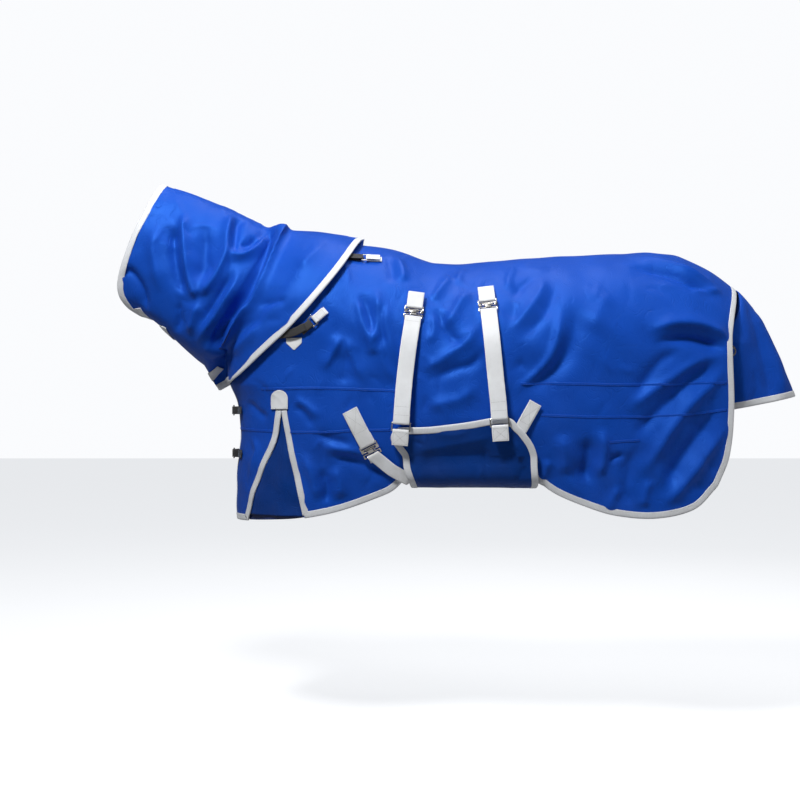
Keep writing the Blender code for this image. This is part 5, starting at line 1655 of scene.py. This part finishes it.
    def ring_tabs(self) -> None:
        """The short tabs that hold the rings at the rear corners."""
        for side in Side:
            seat = Seat.on_body(self.shape, (1.172, -0.350), (0.8, -0.6), side)
            path = bar_loop(seat, 0.0015, RING_DEPTH, WEBBING_THICK, (0.034, 0.030), -1)
            self.strip(f"{side.word}_ring_tab", path, seat.side, 20 * MM, thick=2.0 * MM, step=0.8 * MM, ease=1)


# ---------------------------------------------------------------- the belly wrap
@dataclass
class BellyWrap:
    """The two halves of the wrap that goes under the belly, with tape on their three free edges."""

    shape: WornShape
    rows: int = 84
    columns: int = 120
    flat: Pair = (0.43, 0.62)

    def half(self, side: Side) -> Sheet:
        """One half: u from its front edge to its rear edge, v from its top to the middle of the belly.

        Down to the belly it keeps a clearance off the shell, and then it turns under on a rounded square whose
        height and width go as cosine and sine to the power 0.4.
        """
        u, v = shares(self.rows, self.columns)
        front, rear = reader(WRAP_FRONT), reader(WRAP_REAR)
        x = front(v) + (rear(v) - front(v)) * u
        start = BELLY_Z + BELLY_ROUND
        top = reader(WRAP_TOP)(np.clip(x, WRAP_TOP[0][0], WRAP_TOP[-1][0]))
        turn = math.pi / 2 * (1 - np.clip(v * 2 - 1, 0, 1))
        z = np.where(v < 0.5, top + (start - top) * v * 2, start - BELLY_ROUND * np.cos(turn) ** 0.4)
        upper = self.shape.half_width(x, np.maximum(z, start)) + WRAP_CLEARANCE
        lower = (self.shape.half_width(x, np.full_like(x, start)) + WRAP_CLEARANCE) * np.sin(turn) ** 0.4
        y = side.value * np.maximum(np.where(v < 0.5, upper, lower), 0.3 * MM)
        sheet = Sheet(grid(x, y, z),
                      grid(np.zeros_like(u), np.full_like(u, side.value), -smooth(v * 2 - 0.8)))
        folds = WRAP_FOLDS if side is Side.NEAR else WRAP_FOLDS.varied(53)
        held = smooth(u / 0.08) * smooth((1 - u) / 0.08) * smooth(v / 0.08) * smooth((0.92 - v) / 0.1)
        seam = 1 - 0.8 * (np.exp(-(((x - 0.14) / 0.03) ** 2)) + np.exp(-(((x - 0.434) / 0.03) ** 2))) * (v < 0.5)
        return sheet.lifted(folds.at(x, z) * held * seam)

    def build(self) -> None:
        """Builds both halves."""
        for side in Side:
            word = side.word
            body = "near_wrap" if side is Side.NEAR else "rug"
            cloth = self.half(side)
            obj = cloth.build(f"{word}_wrap_cloth")
            thicken(obj, OUTER_THICK, inner=True)
            # The wrap's cloth is the shell's blue darkened to paint the shade under the belly.
            finish(obj, PAINTED_SHADE_BLUE, LINING, body=body, slot="shell", stands_for=[f"{word}_wrap"])
            run, corner = np.linspace(0, 1, 90), np.linspace(0, math.pi / 2, 9)[1:-1]
            radius_u, radius_v = 0.055, 0.045
            u = np.concatenate([np.zeros(90), radius_u * (1 - np.cos(corner)), radius_u + run * (1 - 2 * radius_u),
                                1 - radius_u * (1 - np.sin(corner)), np.ones(90)])
            v = np.concatenate([0.995 + run * (radius_v - 0.995), radius_v * (1 - np.sin(corner)), np.zeros(90),
                                radius_v * (1 - np.cos(corner)), radius_v + run * (0.995 - radius_v)])
            line, outs = cloth.at(u, v)
            middle, _ = cloth.at(np.full_like(u, 0.5), np.clip(v, 0.2, 0.99))
            whole = even(np.hstack([line, outs * 1e-6, (middle - line) * 1e-6]), 4 * MM, 4)
            centres, outs, toward = whole[:, :3], unit(whole[:, 3:6]), unit(whole[:, 6:])
            sides = np.cross(ahead(centres), outs)
            sides = sides * np.sign((sides * toward).sum(-1, keepdims=True))
            bind(f"{word}_wrap_tape", f"{word}_wrap_stitches", Band(centres, sides, outs), outs, body,
                 [f"{word}_wrap_binding"])


# ---------------------------------------------------------------- fittings
@dataclass(frozen=True)
class Fittings:
    """The plated clips, sliders, loops and rings: their CAD solids with the sharp edges rounded off."""

    bodies: tuple[tuple[str, str], ...] = (
        ("near_front_plate", "rug"), ("near_rear_plate", "rug"), ("surcingle_plate", "rug"),
        ("surcingle_hook", "rug"), ("near_front_hook", "near_front_strap"),
        ("near_rear_hook", "near_rear_strap"), ("near_front_slider", "near_wrap"),
        ("near_rear_slider", "near_wrap"), ("near_upper_neck_loop", "rug"), ("near_lower_neck_loop", "rug"),
        ("chest_upper_loop", "rug"), ("chest_lower_loop", "rug"), ("near_ring", "near_ring"),
        ("off_ring", "off_ring"))
    rounding: float = 0.9 * MM

    def build(self) -> None:
        """Builds a rounded copy of each solid: its flat faces are joined again, then its edges are bevelled."""
        for node, body in self.bodies:
            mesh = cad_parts[node].data.copy()
            bm = bmesh.new()
            bm.from_mesh(mesh)
            bmesh.ops.remove_doubles(bm, verts=bm.verts, dist=0.02 * MM)
            bmesh.ops.dissolve_limit(bm, angle_limit=math.radians(4), verts=bm.verts, edges=bm.edges)
            bm.to_mesh(mesh)
            bm.free()
            obj = placed_in_scene(bpy.data.objects.new(node + "_fitting", mesh))
            mesh.shade_smooth()
            edge = obj.modifiers.new("edges", "BEVEL")
            edge.width = self.rounding
            edge.segments = 3
            edge.limit_method = "ANGLE"
            edge.angle_limit = math.radians(35)
            finish(obj, NICKEL, body=body, slot="metal", stands_for=[node])


# ---------------------------------------------------------------- the stage
@dataclass(frozen=True)
class Stage:
    """A pale floor and sky, soft lights, and a camera level with the girth, square to the near side."""

    ground: float = -1.56
    distance: float = 4.5
    span: float = 2.64
    centre: tuple[float, float] = (0.132, -0.5115)

    def build(self) -> None:
        """Sets up everything round the rug."""
        self.floor()
        self.light("top", (0.3, -0.1, 2.3), (0.35, 0.0, -0.3), 1.8, 34)
        self.light("key", (-1.1, -2.5, 2.7), (0.3, 0.0, -0.3), 0.8, 185)
        self.light("back", (1.5, 3.4, 1.8), (0.3, 0.0, -0.3), 2.0, 40, shines=False)
        self.light("rear", (3.3, -1.1, 1.3), (1.2, 0.0, -0.4), 0.9, 34, shines=False)
        world = bpy.data.worlds.new("studio")
        world.use_nodes = True
        n = Nodes(world.node_tree)
        sky = world.node_tree.nodes["Background"]
        sky.inputs["Color"].default_value = (0.97, 0.98, 1.0, 1)
        seen = n.add("ShaderNodeLightPath").outputs["Is Camera Ray"]
        n.feed(sky, "Strength", n.math("MULTIPLY_ADD", seen, 0.90, 0.09))
        bpy.context.scene.world = world
        bpy.context.scene.view_settings.view_transform = "Standard"
        camera = bpy.data.objects.new("camera", bpy.data.cameras.new("camera"))
        camera.location = (self.centre[0], -self.distance, self.centre[1])
        camera.rotation_euler = (math.pi / 2, 0, 0)
        camera.data.lens = camera.data.sensor_width * self.distance / self.span
        placed_in_scene(camera)
        bpy.context.scene.camera = camera

    def floor(self) -> None:
        """The floor, a level square 40 m across, which looks paler to the camera than the light it throws back."""
        u, v = shares(8, 8)
        sheet = Sheet(grid(u * 40 - 20, v * 40 - 20, 0 * u + self.ground), np.array([0.0, 0.0, 1.0]))
        obj = sheet.build("studio_floor")
        made, n, shader = material("pale_floor")
        noise = n.add("ShaderNodeTexNoise", Vector=n.add("ShaderNodeTexCoord").outputs["Object"], Scale=1.5)
        n.feed(shader, "Base Color", n.mix(noise.outputs[0], (0.34, 0.34, 0.35, 1), (0.38, 0.38, 0.38, 1)))
        shader.inputs["Roughness"].default_value = 0.9
        shader.inputs["Emission Color"].default_value = (0.95, 0.97, 1.0, 1)
        seen = n.add("ShaderNodeLightPath").outputs["Is Camera Ray"]
        n.feed(shader, "Emission Strength", n.math("MULTIPLY", seen, 0.80))
        obj.data.materials.append(made)

    def light(self, name: str, place: tuple[float, float, float], target: tuple[float, float, float], size: float,
              power: float, shines: bool = True) -> None:
        """A square soft light that looks at a point. shines says whether reflections show it."""
        lamp = bpy.data.lights.new(name, "AREA")
        lamp.size = size
        lamp.energy = power
        obj = bpy.data.objects.new(name, lamp)
        obj.location = place
        obj.rotation_euler = (Vector(target) - Vector(place)).to_track_quat("-Z", "Y").to_euler()
        obj.visible_glossy = shines
        placed_in_scene(obj)


def clear_startup() -> None:
    """Removes the startup scene's own objects."""
    for name in ("Cube", "Light", "Camera"):
        if found := bpy.data.objects.get(name):
            bpy.data.objects.remove(found)


def main() -> None:
    """Builds the stage and every sub-assembly in order."""
    logging.basicConfig(level=logging.INFO, format="%(name)s %(message)s")
    clear_startup()
    for make in (weave_group, crumple_group, dust_and_shade_group, scuff_group):
        make()
    Stage().build()
    shape = WornShape()
    BodyCloth(shape).build()
    NeckCover(shape).build()
    TailFlap().build()
    BellyWrap(shape).build()
    Webbing(shape).build()
    Fittings().build()


if __name__ == "__main__":
    main()
